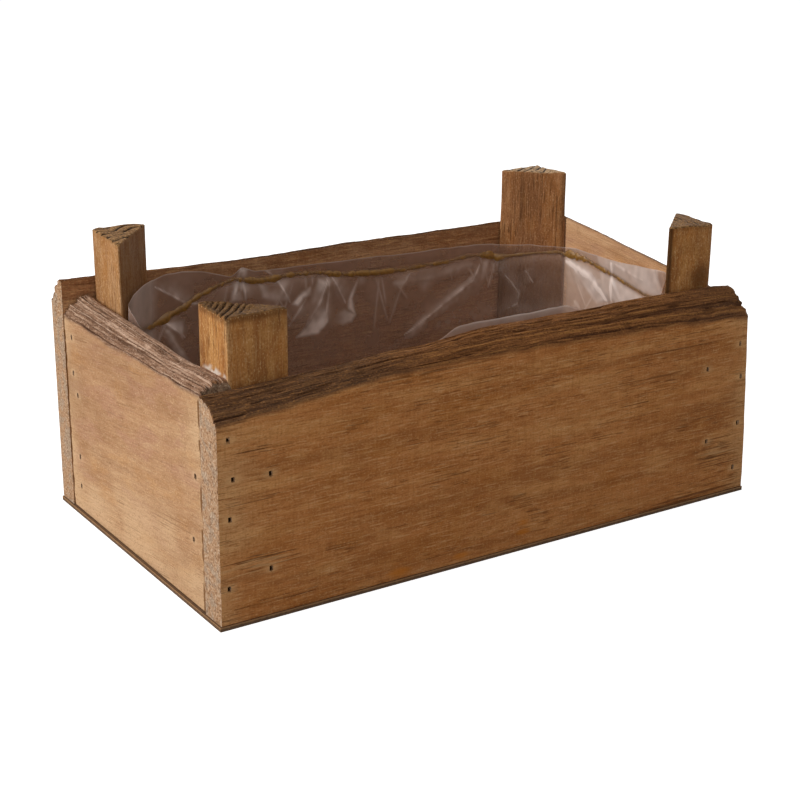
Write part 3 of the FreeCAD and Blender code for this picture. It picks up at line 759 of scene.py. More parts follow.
# %% Three-cornered posts
def post_surface(node, corner, spec):
    """Rows of the section from the base to the top, then rings of the top towards its middle."""
    low, high = (np.array(place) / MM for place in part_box(node))
    sides = (-1 if "left" in corner else 1, -1 if "front" in corner else 1)
    wall_corner = np.where(np.array(sides) > 0, high[:2], low[:2]) + spec["shift"]
    outline = split_section(wall_corner, sides, spec)
    middle = outline.mean(0)
    around = np.arange(len(outline))
    level = np.linspace(0, 1, POST_ROWS)[:, None]
    worn_in = 0.12 + 0.12 * noise(around / 4, level * 9, spec["seed"] + 3)
    out = outline - middle
    out = out / np.linalg.norm(out, axis=1, keepdims=True)
    side_xy = outline - out * worn_in[..., None] - spec["taper"] * (outline - middle) * level[..., None]
    rim, _ = sawn_top(side_xy[..., 0], side_xy[..., 1], wall_corner, sides, spec)
    rim = rim - TOP_EASE
    side_z = low[2] + (rim - low[2]) * level
    shrink = 1 - np.linspace(0, 1, TOP_RINGS + 1)[:-1, None, None] ** 0.9
    shrink[0] = 1 - TOP_EASE / 8
    top_xy = middle + (side_xy[-1] - middle) * shrink
    top_z, slit = sawn_top(top_xy[..., 0], top_xy[..., 1], wall_corner, sides, spec)
    xy = np.concatenate([side_xy, top_xy])
    z = np.concatenate([side_z, top_z])
    points = np.concatenate([xy, z[..., None]], axis=-1)
    fray = np.exp(-((rim - side_z) / FRAY_DEPTH) ** 2)
    sawn = {
        # where the saw slits are; the finish darkens them with painted shade and their dark stain
        "slit": np.concatenate([0 * side_z, slit]),
        "top": np.concatenate([0 * side_z, 0 * top_z + 1]),
        "fray": spec["fray"] * np.concatenate([fray, 0 * top_z]),
    }
    return points, {**sawn, **post_marks(points, corner, wall_corner, sides, spec)}


def post_marks(points, corner, wall_corner, sides, spec):
    """Stain and painted shade by face with spots on one of them, wear along the three edges, and caught
    fibres.
    """
    x, y, z = np.moveaxis(points, -1, 0)
    from_walls = np.abs(points[..., :2] - wall_corner)
    to_end = from_walls[..., 0] < WALL_NEAR
    to_long = from_walls[..., 1] < WALL_NEAR
    # stain by face; on the back left post the split face's darkness is painted shade
    on_end, on_long, on_split = spec["stain"]
    stain = np.where(to_end, on_end, np.where(to_long, on_long, on_split))
    spotted = (from_walls[..., 0] > WALL_NEAR) & (to_long == corner.startswith("front"))
    reach_x, reach_y = np.array(sides) * spec["legs"]
    corners = wall_corner - np.array([(0, 0), (reach_x, 0), (0, reach_y)])
    off_corner = np.linalg.norm(points[..., None, :2] - corners, axis=-1).min(-1)
    worn = np.exp(-(off_corner / WORN_CORNER) ** 2) * (0.6 + 0.5 * noise(0.5, z / 6, spec["seed"] + 6))
    fluff = spots(FLUFF, y, z) * (0.75 + 0.6 * noise(y / 1.6, z / 1.1, spec["seed"] + 5))
    return {
        "stain": np.maximum(stain, spots(spec["spots"], x, z, power=2) * spotted),
        "worn": worn,
        "fluff": spec["fluff"] * fluff * to_end,
    }


posts = {}
for corner, spec in POSTS.items():
    node = f"{corner}_post"
    points, attributes = post_surface(node, corner, spec)
    rows, columns = points.shape[:2]
    faces = grid_faces(rows, columns)
    caps = [range(columns)[::-1], range((rows - 1) * columns, rows * columns)]
    posts[node] = make_piece(f"split_{node}", points, faces, caps, attributes, node)

# %% [markdown]
# ## Film liner
# The liner is one sheet of clear polythene pressed into the box: up the walls and
# across the posts, and slack where it turns onto the bottom. Glue holds it at a few
# places, and folds fan out from there. The sheet is a grid: one parameter runs round
# the eight-sided lining, the other down the wall, round a wide bend and over the
# bottom. Folds are ridges between two points of the wall, as sharp as creased film.

# %% The lining's outline
FILM_GAP = 0.6
FILM_COLUMNS = 760
WALL_ROWS = 96
BEND_ROWS = 14
FLOOR_ROWS = 18
FOLDED_SIDES = ("right", "back_right", "back", "back_left")
PLAIN_SHARE = 0.45
CORNER_AVERAGE = 4
inner_low = np.array([node_points("left_end_board")[:, 0].max(), node_points("front_board")[:, 1].max()])
inner_high = np.array([node_points("right_end_board")[:, 0].min(), node_points("back_board")[:, 1].min()])
BOTTOM = node_points("base_panel")[:, 2].max()
# stand-off of the film from each side of the lining, and radius of its bend at the bottom
SIDES = ("front", "front_right", "right", "back_right", "back", "back_left", "left", "front_left")
STAND_OFF = {"back_left": 0.1, "back_right": 0.6}
BEND_RADIUS = {"front": 20, "front_right": 26, "right": 40, "back_right": 44, "back": 30,
               "back_left": 24, "left": 22, "front_left": 20}


def lining_corners():
    """The eight corners of the lining, anticlockwise from the front left, where posts meet boards."""
    reach = {corner: np.array(spec["legs"]) + spec["shift"] for corner, spec in POSTS.items()}
    (x0, y0), (x1, y1) = inner_low, inner_high
    return np.array([
        (x0 + reach["front_left"][0], y0), (x1 - reach["front_right"][0], y0),
        (x1, y0 + reach["front_right"][1]), (x1, y1 - reach["back_right"][1]),
        (x1 - reach["back_right"][0], y1), (x0 + reach["back_left"][0], y1),
        (x0, y1 - reach["back_left"][1]), (x0, y0 + reach["front_left"][1]),
    ])


def round_the_lining():
    """Steps round the lining, closer on the folded sides: place, the way in to the middle line,
    distance to it, side, travel, and the travel at each side's end."""
    corners = lining_corners()
    spans = np.roll(corners, -1, axis=0) - corners
    lengths = np.linalg.norm(spans, axis=1)
    ends = np.concatenate([[0], np.cumsum(lengths)])
    closeness = [1 if side in FOLDED_SIDES else PLAIN_SHARE for side in SIDES]
    steps = np.concatenate([[0], np.cumsum(lengths * closeness)])
    travel = np.interp(np.linspace(0, steps[-1], FILM_COLUMNS, endpoint=False), steps, ends)
    side = np.searchsorted(ends, travel, side="right") - 1
    place = corners[side] + spans[side] / lengths[side, None] * (travel - ends[side])[:, None]
    ways = np.arange(-CORNER_AVERAGE, CORNER_AVERAGE + 1)
    place = np.mean([np.roll(place, way, axis=0) for way in ways], axis=0)
    middle_half = inner_high[0] - inner_high[1]
    middle = np.stack([np.clip(place[:, 0], -middle_half, middle_half), 0 * place[:, 0]], axis=1)
    inward = middle - place
    distance = np.linalg.norm(inward, axis=1)
    return place, inward / distance[:, None], distance, side, travel, ends


lining, lining_in, lining_reach, lining_side, lining_travel, side_ends = round_the_lining()
print("lining", round(side_ends[-1], 1), "mm round")

# %% [markdown]
# ## Rim and bead line
# The film's top edge and the glue under it wander round the box. Both are tables of
# heights against the place on each wall, read off between their points and softened
# where two walls meet. Haze and scuffs, which also carry painted sheen, have one value for each wall.

# %% Rim and bead heights
# Rim and bead heights over the ground, against X on the back wall, share of the post
# on the slanted sides, and Y on the end walls; all in mm
RIM = {
    "back": ((-92, 95.8), (-84, 98), (-77, 98.2), (-67, 97), (-60, 95.2), (-52, 92.4), (-47.4, 96.4),
             (-41, 93.8), (-30, 93.3), (-18, 93.4), (-2, 92.8), (14, 92.7), (36, 92), (58, 92), (76, 91.3),
             (97, 90.2)),
    "back_left": ((0, 96.3), (0.36, 97.5), (0.76, 97.3), (1, 95)),
    "back_right": ((0, 90.8), (0.5, 91), (1, 90)),
    "right": ((-38, 93.5), (-29, 93.3), (-16, 92.6), (-2, 91.4), (12, 91.3), (30, 91.4), (39, 90.8)),
    "left": ((-38, 86), (0, 87), (18, 88.5), (27, 93), (33, 94.5)),
    "front": ((-95, 86), (-26, 90), (-18, 94), (-12, 95.2), (2, 95), (22, 95), (36, 95.6), (46, 92),
              (92, 90)),
    "front_left": ((0, 86), (1, 86)),
    "front_right": ((0, 90), (1, 93)),
}
BEAD = {
    "back": ((-93, 75), (-82, 79.6), (-74, 82.5), (-70, 85.4), (-60, 89), (-50.5, 91.2), (-38, 88.9),
             (-23, 89.4), (-7, 88.4), (6, 85.8), (36, 83.8), (47, 84.6), (65, 84.5), (76, 86), (88, 85),
             (97, 83.6)),
    "back_left": ((0, 75.6), (0.5, 79), (1, 78)),
    "back_right": ((0, 86.5), (0.1, 88), (0.64, 85.8), (1, 83)),
    "right": ((-38, 80), (-28, 79.6), (-20, 79.6), (-10, 81.4), (1, 84), (8, 84.9), (22, 87.3), (36, 87.8),
              (39, 87.4)),
    "left": ((-38, 79), (0, 80), (33, 77)),
    "front": ((-95, 78), (0, 80), (92, 80)),
    "front_left": ((0, 79), (1, 78.4)),
    "front_right": ((0, 80), (1, 79)),
}
# how thick the bead was laid: 1 is BEAD_WIDTH
BEAD_SHARE = {side: ((0, 0.7), (1, 0.7)) for side in SIDES} | {
    "back": ((-93, 1.0), (-25, 0.95), (-8, 0.9), (10, 0.65), (40, 0.6), (70, 0.7), (84, 0.9), (97, 0.9)),
    "back_right": ((0, 0.5), (0.5, 0.5), (1, 0.9)),
    "right": ((-30, 0.45), (0, 0.5), (8, 0.65), (14, 0.85), (34, 0.9)),
}


def side_stations():
    """Where each column stands on its own side: X, Y, or the share of a slanted side."""
    share = (lining_travel - side_ends[:-1][lining_side]) / np.diff(side_ends)[lining_side]
    names = np.array(SIDES)[lining_side]
    along_x = np.isin(names, ("front", "back"))
    along_y = np.isin(names, ("left", "right"))
    return np.where(along_x, lining[:, 0], np.where(along_y, lining[:, 1], share))


def softened(values, reach):
    """The mean of a column's value and its neighbours' round the lining, up to a reach either way."""
    return np.mean([np.roll(values, way) for way in range(-reach, reach + 1)], axis=0)


def along_sides(heights):
    """Values round the lining from a table by side, softened where two sides meet."""
    values = np.empty(FILM_COLUMNS)
    for i, side in enumerate(SIDES):
        here = lining_side == i
        values[here] = np.interp(lining_station[here], *zip(*heights[side]))
    return softened(values, 2)


def by_side(table, usual, reach):
    """Values round the lining from one number for each side, softened over a reach."""
    return softened(np.array([table.get(SIDES[i], usual) for i in lining_side], float), reach)


lining_station = side_stations()
rim_z = along_sides(RIM) + 0.25 * noise(lining_travel / 5, 0.5, 71)
bead_z = along_sides(BEAD) + 0.3 * noise(lining_travel / 9, 0.5, 72)
for name, heights in (("rim", rim_z), ("bead", bead_z)):
    print(name, "from", round(heights.min(), 1), "to", round(heights.max(), 1), "mm")

# %% [markdown]
# ## Folds
# A fold is a ridge along a line through a few points of the wall, whitened with a painted
# highlight strongest on its line and a painted sheen on one side. Between folds the film lies
# in flats, and some of them carry painted highlights: those are outlines with the highlight's
# brightness at each corner. Small random folds come down from the bead all round, with faint
# painted highlights on their lines.

# %% Lines and flats of the folds
# Creases and scuffs by side, whitened and painted with highlights: points as (X, Y or mm along a
# slanted side; height), half width of the whitened and highlighted film, how white and bright it is
# painted, and how far the film is pushed in there, all in mm.
# Those on the back and right walls are where the photo shows them.
CREASES = {
    "back": (
        (((-89.5, 93), (-74, 83.4), (-68, 83)), 0.55, 0.5, 1.2),
        (((-85, 76.6), (-75.5, 68.4)), 0.6, 0.5, 1.6),
        (((-85, 73), (-81, 65.5), (-75.5, 58)), 2.0, 0.32, 2.4),
        (((-47.4, 96), (-51, 84)), 1.1, 0.55, 1.2),
        (((-47, 95), (-45.3, 81)), 0.7, 0.5, 1.2),
        (((-37, 94.6), (-30, 89.6), (-23, 77)), 0.6, 0.45, 1.4),
        (((-15, 77), (-24, 66)), 0.6, 0.4, 1.4),
        (((-3, 86), (-8.5, 73.7), (-18.6, 60.5)), 0.7, 0.45, 2.4),
        (((-2.6, 85.5), (-4.3, 70), (-6.5, 61.5)), 0.7, 0.45, 2.4),
        (((-0.5, 85.3), (6.4, 72.5)), 0.6, 0.4, 1.8),
        (((83, 81), (79, 74), (39, 52.5)), 0.65, 0.55, 2.4),
        (((70, 66), (40, 51)), 3.0, 0.2, 1.0),
        (((33, 78), (59, 78), (78, 82)), 2.5, 0.16, 1.2),
        (((86, 81), (88, 72)), 0.6, 0.35, 1.0),
        (((91, 78), (88.3, 69)), 0.6, 0.35, 1.0),
        (((52, 54), (95, 58)), 5.0, 0.12, 0.0),
    ),
    "back_right": (
        (((33, 78), (26.5, 71.6), (22.7, 66.3), (23.5, 61.2), (32.8, 56)), 0.6, 0.3, 1.4),
        (((19.7, 78), (16, 72.3)), 0.6, 0.25, 0.8),
        (((2, 60), (34, 57)), 6.0, 0.14, 0.0),
    ),
    "right": (
        (((36.6, 84), (18.4, 80), (5.4, 71.5)), 1.8, 1.5, 1.6),
        (((30, 83), (11, 75)), 4.0, 0.35, 1.0),
        (((3.3, 90), (1.9, 72)), 1.2, 1.3, 1.6),
        (((0, 89.8), (-20, 86.6)), 1.4, 0.8, 1.4),
        (((29.3, 65.5), (25.4, 63.4)), 1.2, 0.5, 0.8),
        (((-29, 93), (-30, 80)), 1.2, 0.45, 1.2),
    ),
}
# Flats between folds by side, which carry painted highlights: corners as (X or Y, height, brightness of the
# painted highlight)
FACETS = {
    "back": (
        ((-22, 76, 0.55), (-17, 81, 0.35), (-12, 83, 0.5), (-12, 79, 0.3), (-16, 78, 0.6), (-19, 75, 0.6)),
        ((-3, 85, 0.35), (-4, 75, 0.2), (-3, 65, 0.6), (-8, 60, 0.55), (-20, 60, 0.6),
         (-15, 65, 0.45), (-11, 71, 0.3), (-8, 78, 0.25)),
        ((-8, 86, 0.45), (-4, 84, 0.4), (-8, 77, 0.25), (-12, 72, 0.2), (-14, 73, 0.15)),
        ((14, 84, 0.5), (10, 74, 0.6), (12, 66, 0.55), (8, 69, 0.45), (7, 73, 0.3)),
        ((-1, 67, 0.15), (6, 70, 0.3), (12, 66, 0.5), (10, 63, 0.45), (5, 62, 0.4), (0, 64, 0.25)),
        ((0, 84, 0.3), (6, 72, 0.25), (4, 71, 0.15), (-2, 80, 0.2)),
        ((14, 84, 0.3), (18, 83, 0.25), (16, 77, 0.1), (12, 73, 0.2)),
        ((-39, 88, 0.45), (-37, 81, 0.4), (-30, 78, 0.25), (-23, 78, 0.4), (-24, 83, 0.25),
         (-32, 86, 0.15)),
        ((-47, 96, 0.5), (-44, 95, 0.45), (-45, 88, 0.35), (-48, 85, 0.4), (-49, 89, 0.3)),
        ((-52, 86, 0.45), (-48, 86, 0.35), (-46, 81, 0.3), (-53, 81, 0.35)),
        ((-85, 76, 0.5), (-75, 77, 0.3), (-77, 68, 0.45), (-80, 71, 0.35)),
        ((-86, 71, 0.4), (-81, 69, 0.35), (-74, 58, 0.4), (-78, 58, 0.3)),
        ((80, 77, 0.5), (77, 72, 0.3), (54, 58, 0.2), (37, 48, 0.2), (29, 46, 0.3), (48, 59, 0.4)),
        ((33, 78, 0.2), (50, 78, 0.25), (68, 74, 0.2), (60, 70, 0.1), (42, 72, 0.1)),
        ((85, 82, 0.4), (89, 84, 0.3), (88, 75, 0.25), (82, 70, 0.2)),
        ((90, 81, 0.35), (94, 81, 0.3), (95, 69, 0.2), (91, 73, 0.25)),
    ),
    "right": (
        ((37, 86, 0.9), (27, 83, 0.7), (17, 79, 0.6), (5, 72, 0.6), (13, 68, 0.4), (26, 77, 0.4)),
        ((22, 77, 0.35), (11, 81, 0.3), (-5, 78, 0.45), (-9, 76, 0.4), (3, 71, 0.3), (10, 72, 0.35)),
        ((14, 92, 0.35), (-28, 94, 0.5), (-36, 78, 0.5), (-8, 70, 0.45), (9, 75, 0.35)),
        ((3, 90, 0.5), (-8, 90, 0.35), (-22, 88, 0.55), (-27, 84, 0.4), (-19, 85, 0.35), (-4, 86, 0.25)),
    ),
}
# painted highlights on the flats between folds: how wide their edge is, how strong, and how much is taken
# off
FACET_EDGE = 2.6
FACET_SHARE = 1.15
FACET_FLOOR = 0.15
CREASE_SPREAD = 5.0
RIDGE_SHARE = 0.5
# small folds, with faint painted highlights along their lines
SMALL_FOLDS = 110
SMALL_SHEEN_AND_WHITENING = 0.14
# share of the small folds on the back right post, where the film is drawn tight
SMALL_ON_POST = 0.3
# painted highlight along the creases, and the painted sheen on one side of them with its reach
VEIL_SHARE = 0.75
LIT_SIDE_SHARE = 0.55
LIT_SIDE_REACH = 3.5
print("creases:", {side: len(rows) for side, rows in CREASES.items()})

# %% [markdown]
# Each point of a wall has a distance from a fold's line. It says how far the film is
# pushed in there and how white and brightly highlighted it is painted, and where folds cross the brightest
# counts.

# %% Laying the folds
def off_path(station, z, path):
    """Distance of each point of the wall from a line through some points, the least over its
    stretches; how the line swells there, from 0 at its ends to 1 in its middle; and which points
    lie on its left."""
    least = np.full(z.shape, np.inf)
    share = np.zeros(z.shape)
    left = np.zeros(z.shape, bool)
    for i, (start, end) in enumerate(zip(path[:-1], path[1:])):
        span = np.subtract(end, start)
        t = ((station - start[0]) * span[0] + (z - start[1]) * span[1]) / (span @ span)
        t = np.clip(t, 0, 1)
        off = np.hypot(station - start[0] - t * span[0], z - start[1] - t * span[1])
        turn = span[0] * (z - start[1]) - span[1] * (station - start[0])
        share = np.where(off < least, (i + t) / (len(path) - 1), share)
        left = np.where(off < least, turn > 0, left)
        least = np.minimum(least, off)
    return least, np.sqrt(4 * share * (1 - share)), left


def facet_highlight(station, z, outline):
    """Painted highlight of a flat between folds: inside its outline the values at the corners are blended
    by nearness, and it fades out over its edge."""
    x, up, _ = np.array([*outline, outline[0]]).T
    off, _, _ = off_path(station, z, list(zip(x, up)))
    inside = np.zeros(z.shape, bool)
    for i in range(len(outline)):
        crosses = (up[i] > z) != (up[i + 1] > z)
        inside ^= crosses & (station < x[i] + (x[i + 1] - x[i]) * (z - up[i]) / ((up[i + 1] - up[i]) or 1))
    near = [((station - corner[0]) ** 2 + (z - corner[1]) ** 2 + 1) ** -1.5 for corner in outline]
    blend = sum(weight * corner[2] for weight, corner in zip(near, outline)) / sum(near)
    depth = np.where(inside, off, -off)
    return np.clip(blend - FACET_FLOOR, 0, None) * ease(0.4 + depth / FACET_EDGE)


def each_row(table):
    """Pairs of a side and a row from a table by side."""
    return [(side, row) for side, rows in table.items() for row in rows]


def film_folds(z):
    """Ridges, whitening and painted highlights of all creases: a crease is whitest on its line, with a
    painted sheen on one side, and its ridge falls off on both sides in a curve that is steepest there. The
    flats carry painted highlights. Small random folds come down from the bead, with faint painted
    highlights."""
    total = np.zeros_like(z)
    white = np.zeros_like(z)
    streaky = 0.75 + 0.45 * noise(lining_travel / 2.2, z / 2.6, 78)
    lengths = np.diff(side_ends)
    for side, (path, half_width, whiteness, height) in each_row(CREASES):
        i = SIDES.index(side)
        here = lining_side == i
        station = lining_station[here] * (lengths[i] if "_" in side else 1)
        off, swell, left = off_path(station, z[:, here], path)
        facet = np.clip(1 - off / (CREASE_SPREAD + half_width), 0, 1) ** 1.5
        total[:, here] += RIDGE_SHARE * height * facet * swell
        veil = np.exp(-(off / (half_width * (0.4 + 0.6 * swell))) ** 2)
        # painted sheen on one side of the crease
        veil = np.maximum(veil, LIT_SIDE_SHARE * left * swell * np.exp(-off / LIT_SIDE_REACH))
        veil = VEIL_SHARE * whiteness * veil * streaky[:, here]
        white[:, here] = np.maximum(white[:, here], veil)
    # painted highlights on the flats between folds
    for side, outline in each_row(FACETS):
        here = lining_side == SIDES.index(side)
        veil = FACET_SHARE * facet_highlight(lining_station[here], z[:, here], outline)
        white[:, here] = np.maximum(white[:, here], veil * (0.45 + 0.6 * streaky[:, here]))
    drawn = softened(np.where(lining_side == SIDES.index("back_right"), SMALL_ON_POST, 1.0), 3)
    draw = np.random.default_rng(73)
    for at in draw.uniform(0, side_ends[-1], SMALL_FOLDS):
        top = np.interp(at, lining_travel, bead_z) + draw.uniform(-6, 2)
        lean, reach = draw.uniform(-0.8, 0.8), draw.uniform(6, 26)
        width, height = draw.uniform(0.8, 3.0), draw.uniform(0.1, 0.45)
        off, swell, _ = off_path(lining_travel, z, ((at, top), (at + lean * reach, top - reach)))
        total += drawn * height * np.clip(1 - off / width, 0, 1) ** 1.5 * swell
        # faint painted highlights on the small folds' lines
        white = np.maximum(white, drawn * SMALL_SHEEN_AND_WHITENING * np.exp(-(off / 0.5) ** 2) * swell)
    return total, white

# %% [markdown]
# ## The sheet
# The sheet goes row by row down the walls, round the bend and over the bottom. It is
# held at the bead and slack elsewhere. It carries two values for its finish: how
# white its creases, scuffs and cut edge are, with the highlights and sheen painted on its
# folds and scuffs, and how hazy it is.

# %% The film
HELD_REACH = 3.5
FILM_LIFT = 0.4
HEM_WIDTH = 0.7
HEM_WHITE = 0.25
# the glue wets the film, which takes this much of the haze away, this far from the bead
WETTED_SHARE = 0.85
WETTED_WIDTH = 1.5
# haze of the film by side, where it is doubled, rubbed or stretched, and scuffs by side, which also carry
# painted sheen
HAZE = {"back": 0.53, "back_left": 0.45, "back_right": 0.26, "right": 0.12}
USUAL_HAZE = 0.3
SCUFF_AND_SHEEN = {"back_left": 0.2, "right": 0.24, "front": 0.2}
# share of the scuffs and their painted sheen that is left above the bead, where the film is drawn tight
SCUFF_AND_SHEEN_ABOVE = {"right": 0.95}
# the haze fades down the walls, which darkens the film lower in the box as painted shade: heights and
# shares
HAZE_SHADE_FADE = ((40, 80), (0.55, 1.0))


def film_walls(bend_top):
    """Height and distance from the wall of the rows down to the bend, with their whiteness and painted
    highlights, and their dryness.
    """
    down = np.linspace(0, 1, WALL_ROWS)[:, None]
    z = rim_z + (bend_top - rim_z) * down
    held = np.exp(-((z - bead_z) / HELD_REACH) ** 2)
    free = np.clip(z - bead_z, 0, None)
    wave = 1 + noise(lining_travel / 14, 0.3, 74)
    folds, veils = film_folds(z)
    into = FILM_GAP + by_side(STAND_OFF, 0, 6) + 0.3 + folds * (1 - 0.8 * held) + 0.03 * free * wave
    into = into + 0.9 * (1 - held) * (0.5 + 0.5 * noise(lining_travel / 19, z / 23, 75))
    hem = ease((z - rim_z + HEM_WIDTH) / HEM_WIDTH)
    dry = 1 - WETTED_SHARE * np.exp(-((z - bead_z) / WETTED_WIDTH) ** 2)
    # scuffs with their painted sheen, thinned above the bead
    above = by_side(SCUFF_AND_SHEEN_ABOVE, 1.0, 4)
    scuff_and_sheen = by_side(SCUFF_AND_SHEEN, 0.0, 4) * (above + (1 - above) * ease((bead_z - z) / 3 + 0.5))
    return z, into, (np.maximum(veils, HEM_WHITE * hem) + scuff_and_sheen) * dry, dry


def film_surface():
    """The sheet's points and what they carry for the finish."""
    radius = softened(by_side(BEND_RADIUS, 0, 2), 30)
    bend_top = BOTTOM + FILM_LIFT + radius
    wall_z, wall_in, wall_white, dry = film_walls(bend_top)
    turn = np.linspace(0, math.pi / 2, BEND_ROWS + 1)[1:, None]
    bend_in = wall_in[-1] + radius * (1 - np.cos(turn))
    bend_z = bend_top - radius * np.sin(turn)
    bend_z = bend_z + np.clip(1.2 * noise(lining_travel / 21, turn * 2, 76), 0, None)
    across = np.linspace(0, 0.95, FLOOR_ROWS + 1)[1:, None]
    floor_in = bend_in[-1] + (lining_reach - bend_in[-1]) * across
    floor_x = lining[:, 0] + lining_in[:, 0] * floor_in
    floor_y = lining[:, 1] + lining_in[:, 1] * floor_in
    floor_z = BOTTOM + FILM_LIFT + np.clip(1.1 * noise(floor_x / 19, floor_y / 19, 77), 0, None)
    blend_in = ease(across / 0.25)
    floor_z = bend_z[-1] * (1 - blend_in) + floor_z * blend_in
    into = np.concatenate([wall_in, bend_in, floor_in])
    z = np.concatenate([wall_z, bend_z, floor_z])
    xy = lining + lining_in * into[..., None]
    white = np.concatenate([wall_white, 0 * bend_in, 0 * floor_in])
    # the haze thins lower down: painted shade deep in the box
    haze = by_side(HAZE, USUAL_HAZE, 4) * np.interp(z, *HAZE_SHADE_FADE)
    haze[:WALL_ROWS] *= dry
    return np.concatenate([xy, z[..., None]], axis=-1), {"white": white, "haze": haze}


film_points, film_attributes = film_surface()
rows, columns = film_points.shape[:2]
film = make_piece(
    "polythene_liner", film_points, grid_faces(rows, columns)[:, ::-1],
    [range((rows - 1) * columns, rows * columns)], film_attributes, "liner_film",
)

# %% [markdown]
# ## Glue bead
# Hot melt was laid by hand along the walls, so the bead is a flattened tube that
# swells and thins along its way.

# %% The bead
BEAD_ROUND = 10
BEAD_WIDTH = 2.2
BEAD_BULGE = 1.1
SWELL_RANGE = (0.35, 1.15)


def bead_surface():
    """A flattened tube along the bead line, whose width and bulge swell and fail along the way."""
    swell = 0.75 + 0.45 * noise(lining_travel / 11, 0.2, 81) + 0.25 * noise(lining_travel / 3.5, 0.2, 82)
    swell = swell + 0.3 * noise(lining_travel / 1.7, 0.2, 83)
    swell = np.clip(swell, *SWELL_RANGE) * along_sides(BEAD_SHARE)
    turn = np.linspace(0, 2 * math.pi, BEAD_ROUND, endpoint=False)[:, None]
    into = 0.35 * by_side(STAND_OFF, 0, 0) + BEAD_BULGE * swell * (0.75 + np.cos(turn))
    xy = lining + lining_in * into[..., None]
    z = bead_z + BEAD_WIDTH * swell * np.sin(turn)
    return np.concatenate([xy, z[..., None]], axis=-1)


bead = make_piece(
    "hot_melt_bead", bead_surface(), grid_faces(BEAD_ROUND, FILM_COLUMNS, looped=True), (), None,
    "liner_glue_bead",
)

# %% [markdown]
# ## Wood finish
# The boards are rough-sawn softwood with a thin brown stain. Sawing leaves fuzzy
# fibres, so the wood has no shine, and the stain sits darker in open grain and in
# the end grain's pores. All patterns are noise stretched along the grain, with
# lengths and widths in real millimetres: broad figure, fibres, short dark flecks and
# blotches of stain, with growth rings and pores on the end grain. The bark is a second
# finish, laid on by the attribute that the board's surface carries.

# %% Patterns of the wood
# layer: length along the grain and width across it in mm, detail, distortion. Single fibres
# and pores are too fine for the render, so they are drawn as coarse as they need to show.
WOOD_LAYERS = {
    "figure": (140, 10, 3, 0.4),
    "mottle": (28, 9, 4, 0.5),
    "cloud": (9, 4, 3, 0.4),
    "streak": (26, 1.4, 3, 0.2),
    "fibre": (8, 0.6, 3, 0.2),
    "nap": (0.9, 0.6, 2, 0.0),
    "saw": (0.9, 7, 2, 0.1),
    "dash": (8, 0.55, 1, 0.0),
    "crack": (60, 0.8, 1, 0.2),
    "gate": (34, 12, 2, 0.3),
    "pore": (0.8, 0.8, 2, 0.0),
    "patch": (5, 5, 3, 0.4),
    "ring_end": (5, 5, 2, 0.6),
}
CARRIED_LAYERS = (
    "bark", "cavity", "slit", "top", "strand", "char", "torn", "joint", "halo", "sink", "resin", "worn",
    "fray", "stain", "fluff", "cap",
)
# layers that show only where another one does: pattern, place
GATED_LAYERS = {
    "torn_dark": ("dash", "torn"), "torn_crack": ("crack", "torn"), "torn_pale": ("streak", "torn"),
    "frayed": ("nap", "fray"), "split": ("crack", "gate"), "clump": ("dash", "gate"),
}
RING_LINES = 7.0
WOOD_BUMP = {"fibre": 0.6, "streak": 0.5, "dash": -0.5, "nap": 0.6, "crack": -0.5}
BARK_BUMP = {"strand": 1.2, "fibre": 0.8, "nap": 0.9}
BUMP_HEIGHT = 0.4
END_FROM = 0.58
END_TO = 0.72


def laid_over(tree, ground, coats, layer, tones):
    """Lays tones over a ground one by one; each shows where its layer passes from one value to another."""
    for key, start, full, amount, tone in coats:
        mask = add(tree, "MapRange",
                   {"Value": layer[key], "From Min": start, "From Max": full, "To Max": amount},
                   interpolation_type="SMOOTHSTEP")
        ground = add(tree, "Mix", {0: mask, MIX_A: ground, MIX_B: colour(tones[tone])},
                     data_type="RGBA").outputs[MIX_RESULT]
    return ground


def weighted(tree, weights, layer):
    """The sum of some layers times their weights."""
    total = 0.0
    for key, weight in weights.items():
        total = add(tree, "Math", {0: layer[key], 1: weight, 2: total}, operation="MULTIPLY_ADD")
    return total


def wood_layers(tree, grain, tilt, shift):
    """All patterns of one wood: noise stretched along its grain, lines drawn from it, and attributes."""
    place = add(tree, "TexCoord").outputs["Object"]
    turned = add(tree, "Mapping", {"Vector": place, "Rotation": tilt})
    layer = {}
    for key, (along, across, detail, distortion) in WOOD_LAYERS.items():
        scale = [1 / (across * MM)] * 3
        scale[grain] = 1 / (along * MM)
        laid = add(tree, "Mapping",
                   {"Vector": turned, "Location": (shift, shift * 1.7, shift * 0.6), "Scale": scale})
        layer[key] = add(tree, "TexNoise",
                         {"Vector": laid, "Scale": 1.0, "Detail": detail, "Distortion": distortion},
                         ).outputs["Fac"]
    for key in CARRIED_LAYERS:
        layer[key] = add(tree, "Attribute", attribute_name=key).outputs["Fac"]
    # growth rings are the folds of a noise that is run through several times
    many = add(tree, "Math", {0: layer["ring_end"], 1: RING_LINES}, operation="MULTIPLY")
    layer["ring_end"] = add(tree, "Math", {0: many, 1: 0.5}, operation="PINGPONG")
    layer["gate"] = add(tree, "MapRange",
                        {"Value": layer["gate"], "From Min": 0.44, "From Max": 0.58})
    for key, (pattern, where) in GATED_LAYERS.items():
        layer[key] = add(tree, "Math", {0: layer[pattern], 1: layer[where]}, operation="MULTIPLY")
    return layer

# %% [markdown]
# A wood is three grounds with tones laid over them: its sides, its end grain and its
# bark. The end grain shows where the surface faces along the grain.

